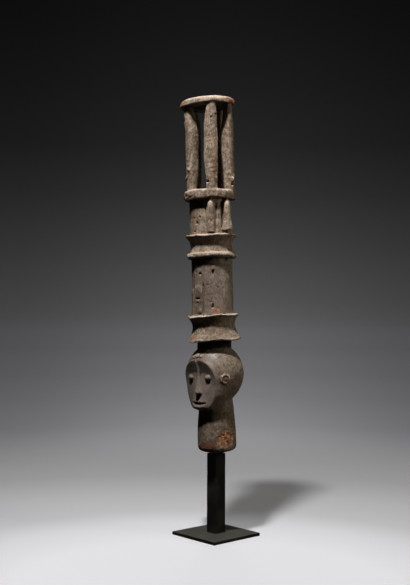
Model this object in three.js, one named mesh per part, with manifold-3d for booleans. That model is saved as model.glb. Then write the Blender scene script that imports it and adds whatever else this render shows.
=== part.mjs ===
// A carved wooden crest mask on its metal stand.
// Millimetres, +Z up. The origin is the middle of the stand's underside. The carved face looks
// along -Y. A turn about the carving's axis is given in degrees: 0 is that front, 90 is +X.
// A level is a height above the carving's seat, measured up its own axis.

import * as THREE from 'three';
import { mergeVertices } from 'three/addons/utils/BufferGeometryUtils.js';
import Module from 'manifold-3d';

const wasm = await Module();
wasm.setup();

const DEG = Math.PI / 180;

// Stand: a square post on a square plate, with broken edges.
const CLEARANCE = 0.3;
const EDGE = 0.6;
const PLATE = { side: 120, thickness: 6 };
const POST = { side: 25, height: 152.4 };
const SEAT = PLATE.thickness + CLEARANCE + POST.height + CLEARANCE;

// The carving leans a little, and its foot is set back against the lean.
const STANCE = { lean: 1.86, turn: -42.7, setBack: 2.2 };

// Levels of the parts that follow each other up the log.
const NECK_TOP = 104;
const HEAD = { level: 154, radius: 55, rise: 60 };
const STUB = { level: 202, radius: 32.8 };
const LOWER_SPOOL = { bottom: 218, waist: 249, top: 268, low: 50.7, neck: 42.7, high: 49.5, lip: 4, tilt: 2.5, wave: 0.9 };
const DRUM = { bottom: 268, top: 381, low: 39.5, high: 40.3 };
const UPPER_SPOOL = { bottom: 378, waist: 408, top: 423, low: 48.6, neck: 44.8, high: 49.5, lip: 5, tilt: 0, wave: 0.9 };
const SHAFT = { bottom: 423, top: 494, radius: 40.5 };
const RING = { bottom: 491.5, top: 509.5, radius: 51, rounding: 3, tilt: 0, wave: 0.7 };
const DISC = { bottom: 674.5, top: 687, radius: 53.3, rounding: 4, tilt: 2.4, wave: 0.4 };

// The neck's outline from its domed underside up to the head, as radius and level.
const NECK_OUTLINE = [[18, 2.5], [30, 5.5], [36, 9], [37.5, 15], [37.3, 40], [35.8, 65], [34, 86], [32.5, NECK_TOP]];
const SEAT_RADIUS = 10;
const SEAT_SKIN = 1.5;

// The hand-cut waviness of everything turned.
const WAVE = { slow: 0.011, fast: 0.006, rimFrom: 44, rimTo: 49 };

// Face: an egg-shaped plane sunk under the brow. Shares are of its height, from chin to brow.
const FACE = {
  chin: 85,
  height: 98,
  halfWidth: 42,
  widest: 0.58,
  taperUp: 2.4,
  taperDown: 1.6,
  chinDepth: 45,
  fallBack: 6.5,
  cheekDepth: 36.5,
  cheek: 0.5,
  jawEdge: 7.5,
  browEdge: 9.5,
  browBand: 7,
  browFrom: 0.5,
  browTo: 0.75,
  backDepth: 8,
};
const JAW = { level: 113, set: 12, halfWidth: 37, depth: 38, rise: 29 };
const EYE = { share: 0.6, side: 23.5, width: 6.5, rise: 6, proud: 3.6, lift: 3, pupil: 2, drill: 6 };
const NOSE = { base: 0.35, bridge: 0.97, width: 7, ridge: 3, proud: 7, ridgeProud: 3.4 };
const MOUTH = { share: 0.14, width: 14.5, open: 2, lipWidth: 18, lipRise: 6.5, lipProud: 2.6, depth: 7 };
const KNOB = { share: 1.06, depth: 46, width: 8, rise: 4.5, proud: 5 };
const EAR = { turn: 68, level: 148, ring: 6.8, tube: 2.9, hole: 2.2 };

// Cage: five posts cut free between the ring and the disc. Each shape gives the share of the
// full width at a share of the post's height.
const CAGE = { width: 29, square: 2.6, sides: 12, sink: 4 };
const POST_SHAPES = {
  shouldered: [[0, 0.62], [0.13, 0.84], [0.3, 0.95], [0.5, 1], [0.72, 0.94], [0.86, 0.8], [0.95, 0.55], [1, 0.42]],
  pointed: [[0, 0.76], [0.15, 0.86], [0.3, 0.93], [0.5, 1], [0.7, 0.94], [0.85, 0.86], [0.94, 0.74], [1, 0.5]],
  necked: [[0, 0.86], [0.15, 0.9], [0.35, 0.97], [0.52, 1], [0.66, 0.93], [0.75, 0.75], [0.82, 0.52], [1, 0.5]],
};
const CAGE_POSTS = [
  { turn: -18, outer: 47.5, depth: 25, shape: 'shouldered' },
  { turn: 54, outer: 48.5, depth: 23, shape: 'pointed' },
  { turn: 126, outer: 50, depth: 22, shape: 'necked' },
  { turn: 198, outer: 48.5, depth: 22, shape: 'pointed' },
  { turn: 270, outer: 48, depth: 20, shape: 'shouldered' },
];

// Relief on the shaft: pestles and bells, as radius and level, in turn round all but its front.
const RELIEF_SET = 39;
const PESTLE = [[0, 427], [4.5, 428], [4.6, 444], [6, 448], [6.2, 470], [5.6, 480], [2.6, 485], [2.6, 494], [0, 494]];
const BELL = [[0, 433.5], [9.5, 434], [9.5, 438], [5, 449], [4.4, 460], [5.6, 480], [2.6, 486], [2.6, 494], [0, 494]];
const PESTLE_TURN = 48;
const RELIEFS = [
  { turn: PESTLE_TURN, profile: PESTLE },
  { turn: 92, profile: BELL },
  { turn: 180, profile: PESTLE },
  { turn: 268, profile: BELL },
];

// Relief on the drum: a raised front strip and a narrower one beside it with a knob.
const FRONT_STRIP = { from: -17, to: 20, bottom: 266, top: 331, proud: 4 };
const SIDE_STRIP = { from: -40, to: -19, bottom: 266, top: 322, proud: 4.4 };
const SIDE_KNOB = { turn: -36, level: 298, size: 4, radius: 43 };

// Cuts into the shaft and the drum. A notch is a three-sided cut, pointing up or down.
const DRILLED = [
  { turn: PESTLE_TURN, level: 450, surface: 45.2, radius: 1.8, depth: 5 },
  { turn: 8, level: 445, surface: 40.5, radius: 1.6, depth: 5 },
  { turn: -2, level: 348, surface: 40, radius: 2.2, depth: 6 },
  { turn: 2, level: 292, surface: 43.5, radius: 1.6, depth: 5 },
];
const NOTCHES = [
  { turn: 50, level: 347, width: 2.6, rise: 6, depth: 7, up: -1 },
  { turn: 47, level: 286, width: 3, rise: 5, depth: 7, up: 1 },
  { turn: -50, level: 347, width: 2.6, rise: 6, depth: 7, up: -1 },
];
const SLOT = { turn: 4, level: 300, width: 9, rise: 3, depth: 6, surface: 44 };

function share(from, to, value) {
  return THREE.MathUtils.smoothstep(value, from, to);
}

// Puts a shape on the carving's skin: its x goes round, its y up and its z straight out.
function onSkin(turn, level, radius) {
  const angle = turn * DEG;
  const around = new THREE.Vector3(Math.cos(angle), Math.sin(angle), 0);
  const up = new THREE.Vector3(0, 0, 1);
  const out = new THREE.Vector3(Math.sin(angle), -Math.cos(angle), 0);
  const matrix = new THREE.Matrix4().makeBasis(around, up, out);
  return matrix.setPosition(out.x * radius, out.y * radius, level);
}

function polar(turn, radius, level) {
  const angle = turn * DEG;
  return new THREE.Vector3(Math.sin(angle) * radius, -Math.cos(angle) * radius, level);
}

// The shared edge list of a geometry, without triangles that have shrunk to a line.
function toSolid(geometry) {
  const bare = geometry.clone();
  bare.deleteAttribute('normal');
  bare.deleteAttribute('uv');
  const welded = mergeVertices(bare, 1e-3);
  const index = welded.index.array;
  const kept = [];
  for (let i = 0; i < index.length; i += 3) {
    const [a, b, c] = index.slice(i, i + 3);
    if (a !== b && b !== c && c !== a) {
      kept.push(a, b, c);
    }
  }
  const vertProperties = new Float32Array(welded.attributes.position.array);
  const mesh = new wasm.Mesh({ numProp: 3, vertProperties, triVerts: new Uint32Array(kept) });
  return new wasm.Manifold(mesh);
}

function toGeometry(solid) {
  const mesh = solid.getMesh();
  const geometry = new THREE.BufferGeometry();
  geometry.setAttribute('position', new THREE.BufferAttribute(mesh.vertProperties, 3));
  geometry.setIndex(new THREE.BufferAttribute(mesh.triVerts, 1));
  geometry.computeVertexNormals();
  return geometry;
}

function join(solids) {
  return solids.reduce((whole, solid) => whole.add(solid));
}

function cut(solid, tools) {
  return tools.reduce((rest, tool) => rest.subtract(tool), solid);
}

// A closed skin over a stack of rings of points. Each end is a fan from the ring's middle.
function loft(rings) {
  const count = rings[0].length;
  const points = rings.flat();
  const index = [];
  for (let i = 0; i + 1 < rings.length; i++) {
    for (let j = 0; j < count; j++) {
      const here = i * count + j;
      const next = i * count + (j + 1) % count;
      index.push(here, next, next + count, here, next + count, here + count);
    }
  }
  const last = (rings.length - 1) * count;
  for (const [start, flip] of [[0, true], [last, false]]) {
    const middle = new THREE.Vector3();
    points.slice(start, start + count).forEach((point) => middle.addScaledVector(point, 1 / count));
    const hub = points.push(middle) - 1;
    for (let j = 0; j < count; j++) {
      const here = start + j;
      const next = start + (j + 1) % count;
      index.push(hub, flip ? next : here, flip ? here : next);
    }
  }
  const geometry = new THREE.BufferGeometry().setFromPoints(points);
  geometry.setIndex(index);
  return geometry;
}

// The slow and fast waves of hand cutting, and a rim that rises and falls round its edge.
function handCut(geometry, wave) {
  const position = geometry.attributes.position;
  for (let i = 0; i < position.count; i++) {
    const x = position.getX(i);
    const y = position.getY(i);
    const z = position.getZ(i);
    const angle = Math.atan2(x, -y);
    const radius = Math.hypot(x, y);
    const swell = 1 + WAVE.slow * Math.sin(2 * angle + z / 61) + WAVE.fast * Math.sin(5 * angle - z / 17);
    const lift = wave * share(WAVE.rimFrom, WAVE.rimTo, radius) * (Math.sin(3 * angle + z / 9) + 0.6 * Math.sin(7 * angle));
    position.setXYZ(i, x * swell, y * swell, z + lift);
  }
  return geometry;
}

function turned(profile, sides) {
  const points = profile.map(([radius, level]) => new THREE.Vector2(radius, level));
  return new THREE.LatheGeometry(points, sides).rotateX(Math.PI / 2);
}

function tilted(geometry, level, degrees) {
  const axis = new THREE.Vector3(Math.cos(STANCE.turn * DEG), Math.sin(STANCE.turn * DEG), 0);
  geometry.translate(0, 0, -level);
  geometry.applyMatrix4(new THREE.Matrix4().makeRotationAxis(axis, degrees * DEG));
  return geometry.translate(0, 0, level);
}

const SIDES = 36;

// Neck, head and the plain drums, turned as one core.
function makeCore() {
  const neck = new THREE.SplineCurve(NECK_OUTLINE.map(([radius, level]) => new THREE.Vector2(radius, level)));
  const dome = new THREE.EllipseCurve(0, HEAD.level, HEAD.radius, HEAD.rise, -50 * DEG, 53 * DEG);
  const profile = [
    [0, -SEAT_SKIN],
    [SEAT_RADIUS, -SEAT_SKIN / 2],
    ...neck.getPoints(7).map((point) => [point.x, point.y]),
    ...dome.getPoints(9).map((point) => [point.x, point.y]),
    [STUB.radius, STUB.level + 1],
    [STUB.radius, LOWER_SPOOL.bottom + 6],
    [DRUM.low, DRUM.bottom - 6],
    [(DRUM.low + DRUM.high) / 2, (DRUM.bottom + DRUM.top) / 2],
    [DRUM.high, DRUM.top],
    [SHAFT.radius, SHAFT.bottom - 6],
    [SHAFT.radius, SHAFT.top],
    [0, SHAFT.top],
  ];
  return toSolid(handCut(turned(profile, SIDES), 0));
}

// A spool: a low rim, a waist drawn in on a curve, and a high lip.
function makeSpool(spool) {
  const waist = new THREE.QuadraticBezierCurve(
    new THREE.Vector2(spool.low - 1, spool.bottom + spool.lip),
    new THREE.Vector2(2 * spool.neck - (spool.low + spool.high) / 2, spool.waist),
    new THREE.Vector2(spool.high - 1, spool.top - spool.lip),
  );
  const profile = [
    [0, spool.bottom],
    [spool.low - 2, spool.bottom],
    [spool.low, spool.bottom + spool.lip / 2],
    ...waist.getPoints(6).map((point) => [point.x, point.y]),
    [spool.high, spool.top - spool.lip / 2],
    [spool.high - 2, spool.top],
    [0, spool.top],
  ];
  return toSolid(tilted(handCut(turned(profile, SIDES), spool.wave), spool.waist, spool.tilt));
}

// A round plate with a rounded edge: the ring under the cage and the disc over it.
function makePlateau(plateau) {
  const { bottom, top, radius, rounding } = plateau;
  const bow = rounding * 0.35;
  const profile = [
    [0, bottom],
    [radius - rounding, bottom],
    [radius - bow, bottom + bow],
    [radius, bottom + rounding],
    [radius, top - rounding],
    [radius - bow, top - bow],
    [radius - rounding, top],
    [0, top],
  ];
  return toSolid(tilted(handCut(turned(profile, SIDES), plateau.wave), (bottom + top) / 2, plateau.tilt));
}

function faceHalfWidth(height) {
  const above = height > FACE.widest;
  const reach = above ? (height - FACE.widest) / (1 - FACE.widest) : (FACE.widest - height) / FACE.widest;
  const power = above ? FACE.taperUp : FACE.taperDown;
  return FACE.halfWidth * Math.sqrt(Math.max(0, 1 - reach ** power));
}

// How far the face stands forward of the axis: a plane that falls back upwards, bowed from side
// to side, with a brow band standing over it along its upper edge and lips round the mouth.
function faceDepth(side, height) {
  const halfWidth = faceHalfWidth(height);
  const across = Math.min(1, Math.abs(side) / Math.max(halfWidth, 1e-6)) ** 2;
  const middle = FACE.chinDepth - FACE.fallBack * height;
  const below = height < FACE.cheek;
  const reach = below ? (FACE.cheek - height) / FACE.cheek : (height - FACE.cheek) / (1 - FACE.cheek);
  const edge = FACE.cheekDepth + (below ? FACE.jawEdge : FACE.browEdge) * reach ** 2;
  const plane = middle + (edge - middle) * across;
  const inset = Math.min(halfWidth - Math.abs(side), (1 - height) * FACE.height);
  const band = (1 - share(FACE.browBand / 2, FACE.browBand, inset)) * share(FACE.browFrom, FACE.browTo, height);
  const up = (height - MOUTH.share) * FACE.height / MOUTH.lipRise;
  const lips = MOUTH.lipProud * Math.exp(-((side / MOUTH.lipWidth) ** 4) - up ** 2);
  return plane + Math.max(0, edge + 1 - plane) * band + lips;
}

// The space in front of the face, or with the back given, the plate of wood behind it.
function faceBlock(inset, deeper, backDepth) {
  const rows = 22;
  const columns = 18;
  const rings = [];
  for (let i = 0; i <= rows; i++) {
    const height = 0.5 - 0.495 * Math.cos(Math.PI * i / rows);
    const halfWidth = faceHalfWidth(height) - inset;
    const front = [];
    for (let j = 0; j <= columns; j++) {
      const side = halfWidth * (2 * j / columns - 1);
      front.push(new THREE.Vector3(side, deeper - faceDepth(side, height), FACE.chin + height * FACE.height));
    }
    const level = FACE.chin + height * FACE.height;
    const far = [new THREE.Vector3(halfWidth, -backDepth, level), new THREE.Vector3(-halfWidth, -backDepth, level)];
    const ahead = backDepth > FACE.chinDepth;
    rings.push(ahead ? [...front.reverse(), ...far.reverse()] : [...front, ...far]);
  }
  return toSolid(loft(rings));
}

function makeBump(width, rise, proud, matrix) {
  const bump = new THREE.SphereGeometry(1, 10, 6).scale(width, rise, proud);
  return toSolid(bump.applyMatrix4(matrix));
}

function makeDrill(radius, depth, matrix) {
  const drill = new THREE.CylinderGeometry(radius, radius, depth * 2, 8).rotateX(Math.PI / 2);
  return toSolid(drill.applyMatrix4(matrix));
}

// The median ridge, spreading down into the nose.
function makeNose() {
  const rings = [];
  const steps = 9;
  for (let i = 0; i <= steps; i++) {
    const along = i / steps;
    const height = NOSE.base + (NOSE.bridge - NOSE.base) * along;
    const spread = (1 - along) ** 3;
    const width = NOSE.ridge + (NOSE.width - NOSE.ridge) * spread;
    const proud = NOSE.ridgeProud + (NOSE.proud - NOSE.ridgeProud) * spread;
    const level = FACE.chin + height * FACE.height;
    const base = faceDepth(0, Math.min(height, 0.9));
    const ring = [];
    for (let j = 0; j <= 6; j++) {
      const angle = Math.PI * (1 - j / 6);
      ring.push(new THREE.Vector3(width * Math.cos(angle), 1 - base - (proud + 1) * Math.sin(angle), level));
    }
    ring.push(new THREE.Vector3(width, 6 - base, level), new THREE.Vector3(-width, 6 - base, level));
    rings.push(ring);
  }
  return toSolid(loft(rings));
}

function makeMouthCut() {
  const shape = new THREE.Shape();
  shape.moveTo(-MOUTH.width, 0);
  shape.quadraticCurveTo(0, 2 * MOUTH.open, MOUTH.width, 0);
  shape.quadraticCurveTo(0, -2 * MOUTH.open, -MOUTH.width, 0);
  const slit = new THREE.ExtrudeGeometry(shape, { depth: 2 * MOUTH.depth, bevelEnabled: false, curveSegments: 6 });
  const level = FACE.chin + MOUTH.share * FACE.height;
  const depth = faceDepth(0, MOUTH.share);
  return toSolid(slit.applyMatrix4(onSkin(0, level, depth - MOUTH.depth)));
}

function makeEar(turn) {
  const ring = new THREE.TorusGeometry(EAR.ring, EAR.tube, 6, 12);
  return toSolid(ring.applyMatrix4(onSkin(turn, EAR.level, HEAD.radius - 0.8)));
}

// Head and face: the face's own space is cut from the core, then its plate of wood is set in.
function addFace(core) {
  const jaw = new THREE.SphereGeometry(1, 18, 10).scale(JAW.halfWidth, JAW.depth, JAW.rise);
  const massed = core.add(toSolid(jaw.translate(0, -JAW.set, JAW.level)));
  const opened = massed.subtract(faceBlock(0.3, 0.5, 2 * HEAD.radius));
  const plate = faceBlock(0, 0, FACE.backDepth);
  const eyeLevel = FACE.chin + EYE.share * FACE.height;
  const eyes = [-1, 1].map((hand) => new THREE.Matrix4().makeBasis(
    new THREE.Vector3(1, 0, 0),
    new THREE.Vector3(0, 0, 1),
    new THREE.Vector3(0, -1, 0),
  ).setPosition(hand * EYE.side, -faceDepth(EYE.side, EYE.share), eyeLevel));
  const up = new THREE.Matrix4().makeTranslation(0, EYE.lift, 0);
  const lids = eyes.map((eye) => makeBump(EYE.width, EYE.rise, EYE.proud, eye.clone().multiply(up)));
  const down = new THREE.Matrix4().makeTranslation(0, -EYE.lift, 0);
  const pupils = eyes.map((eye) => makeDrill(EYE.pupil, EYE.drill, eye.clone().multiply(down)));
  const knobLevel = FACE.chin + KNOB.share * FACE.height;
  const knob = makeBump(KNOB.width, KNOB.rise, KNOB.proud, onSkin(0, knobLevel, KNOB.depth));
  const ears = [makeEar(EAR.turn), makeEar(-EAR.turn)];
  const holes = [EAR.turn, -EAR.turn].map((turn) => makeDrill(EAR.hole, 4, onSkin(turn, EAR.level, HEAD.radius)));
  const whole = join([opened, plate, makeNose(), knob, ...lids, ...ears]);
  return cut(whole, [...pupils, ...holes, makeMouthCut()]);
}

// One cage post: a stack of rounded sections that follow the log's curve.
function makeCagePost(post) {
  const height = DISC.bottom - RING.top;
  const rings = POST_SHAPES[post.shape].map(([up, full]) => {
    const end = up === 0 ? -CAGE.sink : (up === 1 ? CAGE.sink : 0);
    const halfWidth = CAGE.width * full / 2;
    const halfDepth = post.depth * (0.25 + 0.25 * full);
    const middle = post.outer - halfDepth;
    const ring = [];
    for (let j = 0; j < CAGE.sides; j++) {
      const angle = 2 * Math.PI * (j + 0.5) / CAGE.sides;
      const c = Math.cos(angle);
      const s = Math.sin(angle);
      const side = halfWidth * Math.sign(c) * Math.abs(c) ** (2 / CAGE.square);
      const out = halfDepth * Math.sign(s) * Math.abs(s) ** (2 / CAGE.square);
      ring.push(polar(post.turn - side / post.outer / DEG, middle + out, RING.top + up * height + end));
    }
    return ring;
  });
  return toSolid(loft(rings));
}

// A strip standing proud of the drum, rounded off at its top and its sides.
function makeStrip(strip) {
  const steps = 6;
  const rows = 7;
  const rings = [];
  for (let i = 0; i <= rows; i++) {
    const up = i / rows;
    const crown = Math.sqrt(Math.max(0, 1 - up ** 8));
    const ring = [];
    for (let j = 0; j <= steps; j++) {
      const across = 2 * j / steps - 1;
      const proud = strip.proud * crown * (1 - across ** 6);
      const turn = THREE.MathUtils.lerp(strip.from, strip.to, j / steps);
      ring.push(polar(turn, DRUM.low + proud, THREE.MathUtils.lerp(strip.bottom, strip.top, up)));
    }
    const level = THREE.MathUtils.lerp(strip.bottom, strip.top, up);
    ring.push(polar(strip.to, DRUM.low - 6, level), polar(strip.from, DRUM.low - 6, level));
    rings.push(ring);
  }
  return toSolid(loft(rings));
}

function makeRelief({ profile, turn }) {
  const post = turned(profile, 9);
  const place = polar(turn, RELIEF_SET, 0);
  return toSolid(post.translate(place.x, place.y, 0));
}

function makeNotch(notch) {
  const shape = new THREE.Shape();
  shape.moveTo(-notch.width, -notch.up * notch.rise);
  shape.lineTo(notch.width, -notch.up * notch.rise);
  shape.lineTo(0, notch.up * notch.rise);
  const wedge = new THREE.ExtrudeGeometry(shape, { depth: 2 * notch.depth, bevelEnabled: false });
  return toSolid(wedge.applyMatrix4(onSkin(notch.turn, notch.level, DRUM.high - notch.depth)));
}

function makeSlot() {
  const slot = new THREE.BoxGeometry(SLOT.width, SLOT.rise, 2 * SLOT.depth);
  return toSolid(slot.applyMatrix4(onSkin(SLOT.turn, SLOT.level, SLOT.surface)));
}

// The whole log, stood on its seat: leaned, set back, and cut flat where it rests.
function makeCarving() {
  const knob = makeBump(SIDE_KNOB.size, SIDE_KNOB.size, SIDE_KNOB.size,
    onSkin(SIDE_KNOB.turn, SIDE_KNOB.level, SIDE_KNOB.radius));
  const whole = join([
    addFace(makeCore()),
    makeSpool(LOWER_SPOOL),
    makeStrip(FRONT_STRIP),
    makeStrip(SIDE_STRIP),
    knob,
    makeSpool(UPPER_SPOOL),
    ...RELIEFS.map(makeRelief),
    makePlateau(RING),
    ...CAGE_POSTS.map(makeCagePost),
    makePlateau(DISC),
  ]);
  const holes = DRILLED.map((hole) => makeDrill(hole.radius, hole.depth, onSkin(hole.turn, hole.level, hole.surface)));
  const carved = cut(whole, [...holes, ...NOTCHES.map(makeNotch), makeSlot()]);
  const axis = new THREE.Vector3(Math.cos(STANCE.turn * DEG), Math.sin(STANCE.turn * DEG), 0);
  const foot = polar(STANCE.turn, -STANCE.setBack, SEAT);
  const stance = new THREE.Matrix4().makeRotationAxis(axis, STANCE.lean * DEG).setPosition(foot);
  const stood = toSolid(toGeometry(carved).applyMatrix4(stance));
  const below = new THREE.BoxGeometry(3 * HEAD.radius, 3 * HEAD.radius, 2 * HEAD.radius).translate(0, 0, SEAT - HEAD.radius);
  return toGeometry(stood.subtract(toSolid(below)));
}

// A square block with broken edges, standing on the level given.
function makeBlock(side, height, level) {
  const half = side / 2 - EDGE;
  const shape = new THREE.Shape();
  shape.moveTo(-half, -half);
  shape.lineTo(half, -half);
  shape.lineTo(half, half);
  shape.lineTo(-half, half);
  const bevel = { bevelEnabled: true, bevelThickness: EDGE, bevelSize: EDGE, bevelSegments: 1 };
  const block = new THREE.ExtrudeGeometry(shape, { depth: height - 2 * EDGE, ...bevel });
  return toGeometry(toSolid(block.translate(0, 0, level + EDGE)));
}

function makePiece(name, geometry, look) {
  const piece = new THREE.Mesh(geometry, new THREE.MeshStandardMaterial(look));
  piece.name = name;
  return piece;
}

const wood = { color: 0x5d5146, roughness: 0.85, metalness: 0 };
const metal = { color: 0x26231e, roughness: 0.42, metalness: 0.6 };

const crestMask = new THREE.Group();
crestMask.add(makePiece('stand_plate', makeBlock(PLATE.side, PLATE.thickness, 0), metal));
crestMask.add(makePiece('stand_post', makeBlock(POST.side, POST.height, PLATE.thickness + CLEARANCE), metal));
crestMask.add(makePiece('crest_carving', makeCarving(), wood));

export default crestMask;
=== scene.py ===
"""A carved wooden crest mask on its metal stand, dressed and lit.

The carving is worked out in its own frame, in millimetres: x to the right of someone facing the
mask, y to its back, z up its own axis from the seat. A turn is an angle about that axis, 0 at
the face and 90 degrees at +x. The finished skin is then leaned, stood on its post and turned
into metres.
"""

import logging
import math
from dataclasses import dataclass, field
from enum import Enum
from typing import Any

import bpy
import numpy as np
from mathutils import Matrix, Vector


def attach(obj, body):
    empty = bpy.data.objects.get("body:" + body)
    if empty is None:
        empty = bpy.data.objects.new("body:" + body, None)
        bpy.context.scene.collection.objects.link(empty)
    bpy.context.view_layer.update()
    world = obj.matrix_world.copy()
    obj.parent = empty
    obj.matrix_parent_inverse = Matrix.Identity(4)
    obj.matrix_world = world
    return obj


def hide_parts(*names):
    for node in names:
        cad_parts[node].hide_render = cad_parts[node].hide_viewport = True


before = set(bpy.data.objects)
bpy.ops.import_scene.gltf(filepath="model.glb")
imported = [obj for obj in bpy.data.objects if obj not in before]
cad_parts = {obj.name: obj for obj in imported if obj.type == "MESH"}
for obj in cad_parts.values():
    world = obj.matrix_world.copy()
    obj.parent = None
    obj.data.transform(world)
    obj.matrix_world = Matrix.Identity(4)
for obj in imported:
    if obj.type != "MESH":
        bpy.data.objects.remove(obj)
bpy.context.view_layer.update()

MM = 0.001
LOG = logging.getLogger("crest_mask")
Line = tuple[tuple[float, float], ...]
Colour = tuple[float, float, float]
Place = tuple[float, float, float]

# The level over which the tower starts, clear of the head, in millimetres.
ABOVE_HEAD = 205.0
# The radius at which the rims read their noise, so that a rim breaks as one.
RIM_RADIUS = 50.0
# The radius at which angles on the tower become millimetres.
SKIN_RADIUS = 42.0


def smoothstep(low: float, high: float, value: Any) -> Any:
    """Eases from 0 to 1 between two values: t squared times (3 - 2 t).

    Args:
        low: The value where the step starts.
        high: The value where the step ends.
        value: A number or an array.

    Returns:
        The step, of the same shape as value.
    """
    t = np.clip((value - low) / (high - low), 0.0, 1.0)
    return t * t * (3.0 - 2.0 * t)


def band(value: Any, rise: tuple[float, float], fall: tuple[float, float]) -> Any:
    """Eases from 0 to 1 over the rise and back over the fall: one step times 1 less the other."""
    return smoothstep(*rise, value) * (1 - smoothstep(*fall, value))


def wrapped(angle: np.ndarray) -> np.ndarray:
    """Brings angles to between minus and plus half a turn."""
    return (angle + math.pi) % (2 * math.pi) - math.pi


def turn_of(points: np.ndarray) -> np.ndarray:
    """Each point's angle about the carving's axis, 0 at the face."""
    return np.arctan2(points[:, 0], -points[:, 1])


def grid(x: Any, y: Any, z: Any) -> np.ndarray:
    """Puts three arrays of any matching shapes together as points."""
    return np.stack(np.broadcast_arrays(x, y, z), axis=-1)


def about_axis(radius: Any, angle: np.ndarray, level: np.ndarray) -> np.ndarray:
    """Points round the carving's axis: (r sin a, -r cos a, z)."""
    return grid(radius * np.sin(angle), -radius * np.cos(angle), level)


def smooth_max(first: np.ndarray, second: np.ndarray, reach: float) -> np.ndarray:
    """Joins two radii with a fillet: the larger one, plus reach h (1 - h) where they meet.

    Args:
        first: One radius field.
        second: The other.
        reach: The difference over which the fillet works, in millimetres.

    Returns:
        The joined radius field.
    """
    h = np.clip(0.5 + 0.5 * (first - second) / reach, 0.0, 1.0)
    return second + (first - second) * h + reach * h * (1.0 - h)


def curve_through(points: Line, steps: int = 12) -> np.ndarray:
    """Draws a smooth line through points: a Catmull-Rom cubic on each stretch.

    Args:
        points: The points to pass through.
        steps: The samples on each stretch.

    Returns:
        An array of points, one a row.
    """
    p = np.array(points, float)
    p = np.vstack([2 * p[0] - p[1], p, 2 * p[-1] - p[-2]])
    t = (np.arange(steps) / steps)[None, :, None]
    a, b, c, d = (p[i:len(p) - 3 + i, None, :] for i in range(4))
    second, third = 2 * a - 5 * b + 4 * c - d, 3 * b - a - 3 * c + d
    cubic = 0.5 * (2 * b + (c - a) * t + second * t**2 + third * t**3)
    return np.vstack([cubic.reshape(-1, p.shape[1]), p[-2]])


def even_steps(points: np.ndarray, step: float) -> np.ndarray:
    """Divides a line into even steps along its length.

    Args:
        points: The line's corners.
        step: The wanted step, in millimetres.

    Returns:
        Points at even steps, with both ends kept.
    """
    length = np.concatenate([[0.0], np.cumsum(np.linalg.norm(np.diff(points, axis=0), axis=1))])
    along = np.linspace(0.0, length[-1], max(2, int(round(length[-1] / step)) + 1))
    return np.column_stack([np.interp(along, length, points[:, i]) for i in range(points.shape[1])])


@dataclass(frozen=True)
class Grain:
    """Seeded noise in three dimensions, from whole-number cells whose bits are mixed."""

    seed: int

    def cells(self, whole: np.ndarray, layer: int = 0) -> np.ndarray:
        """Gives each whole-number cell a value from -1 to 1.

        Args:
            whole: Cell indices, three to a point.
            layer: Picks one of several values of the same cell.

        Returns:
            One value a cell.
        """
        n = whole.astype(np.int64)
        mixed = n[..., 0] * 374761393 + n[..., 1] * 668265263 + n[..., 2] * 982451653
        mixed = mixed + (self.seed * 31 + layer) * 1274126177
        mixed = (mixed ^ (mixed >> 13)) * 1274126177
        mixed = (mixed ^ (mixed >> 16)) * 668265263
        return ((mixed ^ (mixed >> 15)) & 0xFFFF) / 32767.5 - 1.0

    def wave(self, points: np.ndarray, size: Any) -> np.ndarray:
        """Smooth noise: the cell values blended by eased distance along each axis.

        Args:
            points: Positions, in millimetres.
            size: The size of a cell, one number or one for each axis.

        Returns:
            Values from -1 to 1.
        """
        scaled = points / np.asarray(size, float)
        base = np.floor(scaled)
        part = scaled - base
        part = part * part * (3.0 - 2.0 * part)
        total = np.zeros(points.shape[:-1])
        for corner in np.ndindex(2, 2, 2):
            side = np.array(corner)
            weight = np.prod(np.where(side == 1, part, 1.0 - part), axis=-1)
            total += weight * self.cells(base + side)
        return total

    def layers(self, points: np.ndarray, size: Any, count: int = 3) -> np.ndarray:
        """Sums waves, each half as large and half as strong as the one before.

        Args:
            points: Positions, in millimetres.
            size: The size of the first wave's cell.
            count: How many waves are summed.

        Returns:
            Values from about -1 to 1.
        """
        total = np.zeros(points.shape[:-1])
        for layer in range(count):
            scale = 0.5**layer
            total += scale * Grain(self.seed + 17 * layer).wave(points, np.asarray(size, float) * scale)
        return total / (2.0 - 0.5 ** (count - 1))

    def nearest(self, points: np.ndarray, size: Any) -> tuple[np.ndarray, np.ndarray]:
        """Finds the nearest of one scattered point in each cell.

        Args:
            points: Positions, in millimetres.
            size: The size of a cell, one number or one for each axis.

        Returns:
            The distance in cells, and a random value of the nearest point.
        """
        scaled = points / np.asarray(size, float)
        base = np.floor(scaled)
        best = np.full(points.shape[:-1], 9.0)
        value = np.zeros(points.shape[:-1])
        for offset in np.ndindex(3, 3, 3):
            cell = base + np.array(offset) - 1.0
            spot = grid(*(cell[..., i] + 0.5 + 0.45 * self.cells(cell, i + 1) for i in range(3)))
            distance = np.linalg.norm(scaled - spot, axis=-1)
            closer = distance < best
            best = np.where(closer, distance, best)
            value = np.where(closer, self.cells(cell, 5), value)
        return best, value


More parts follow.
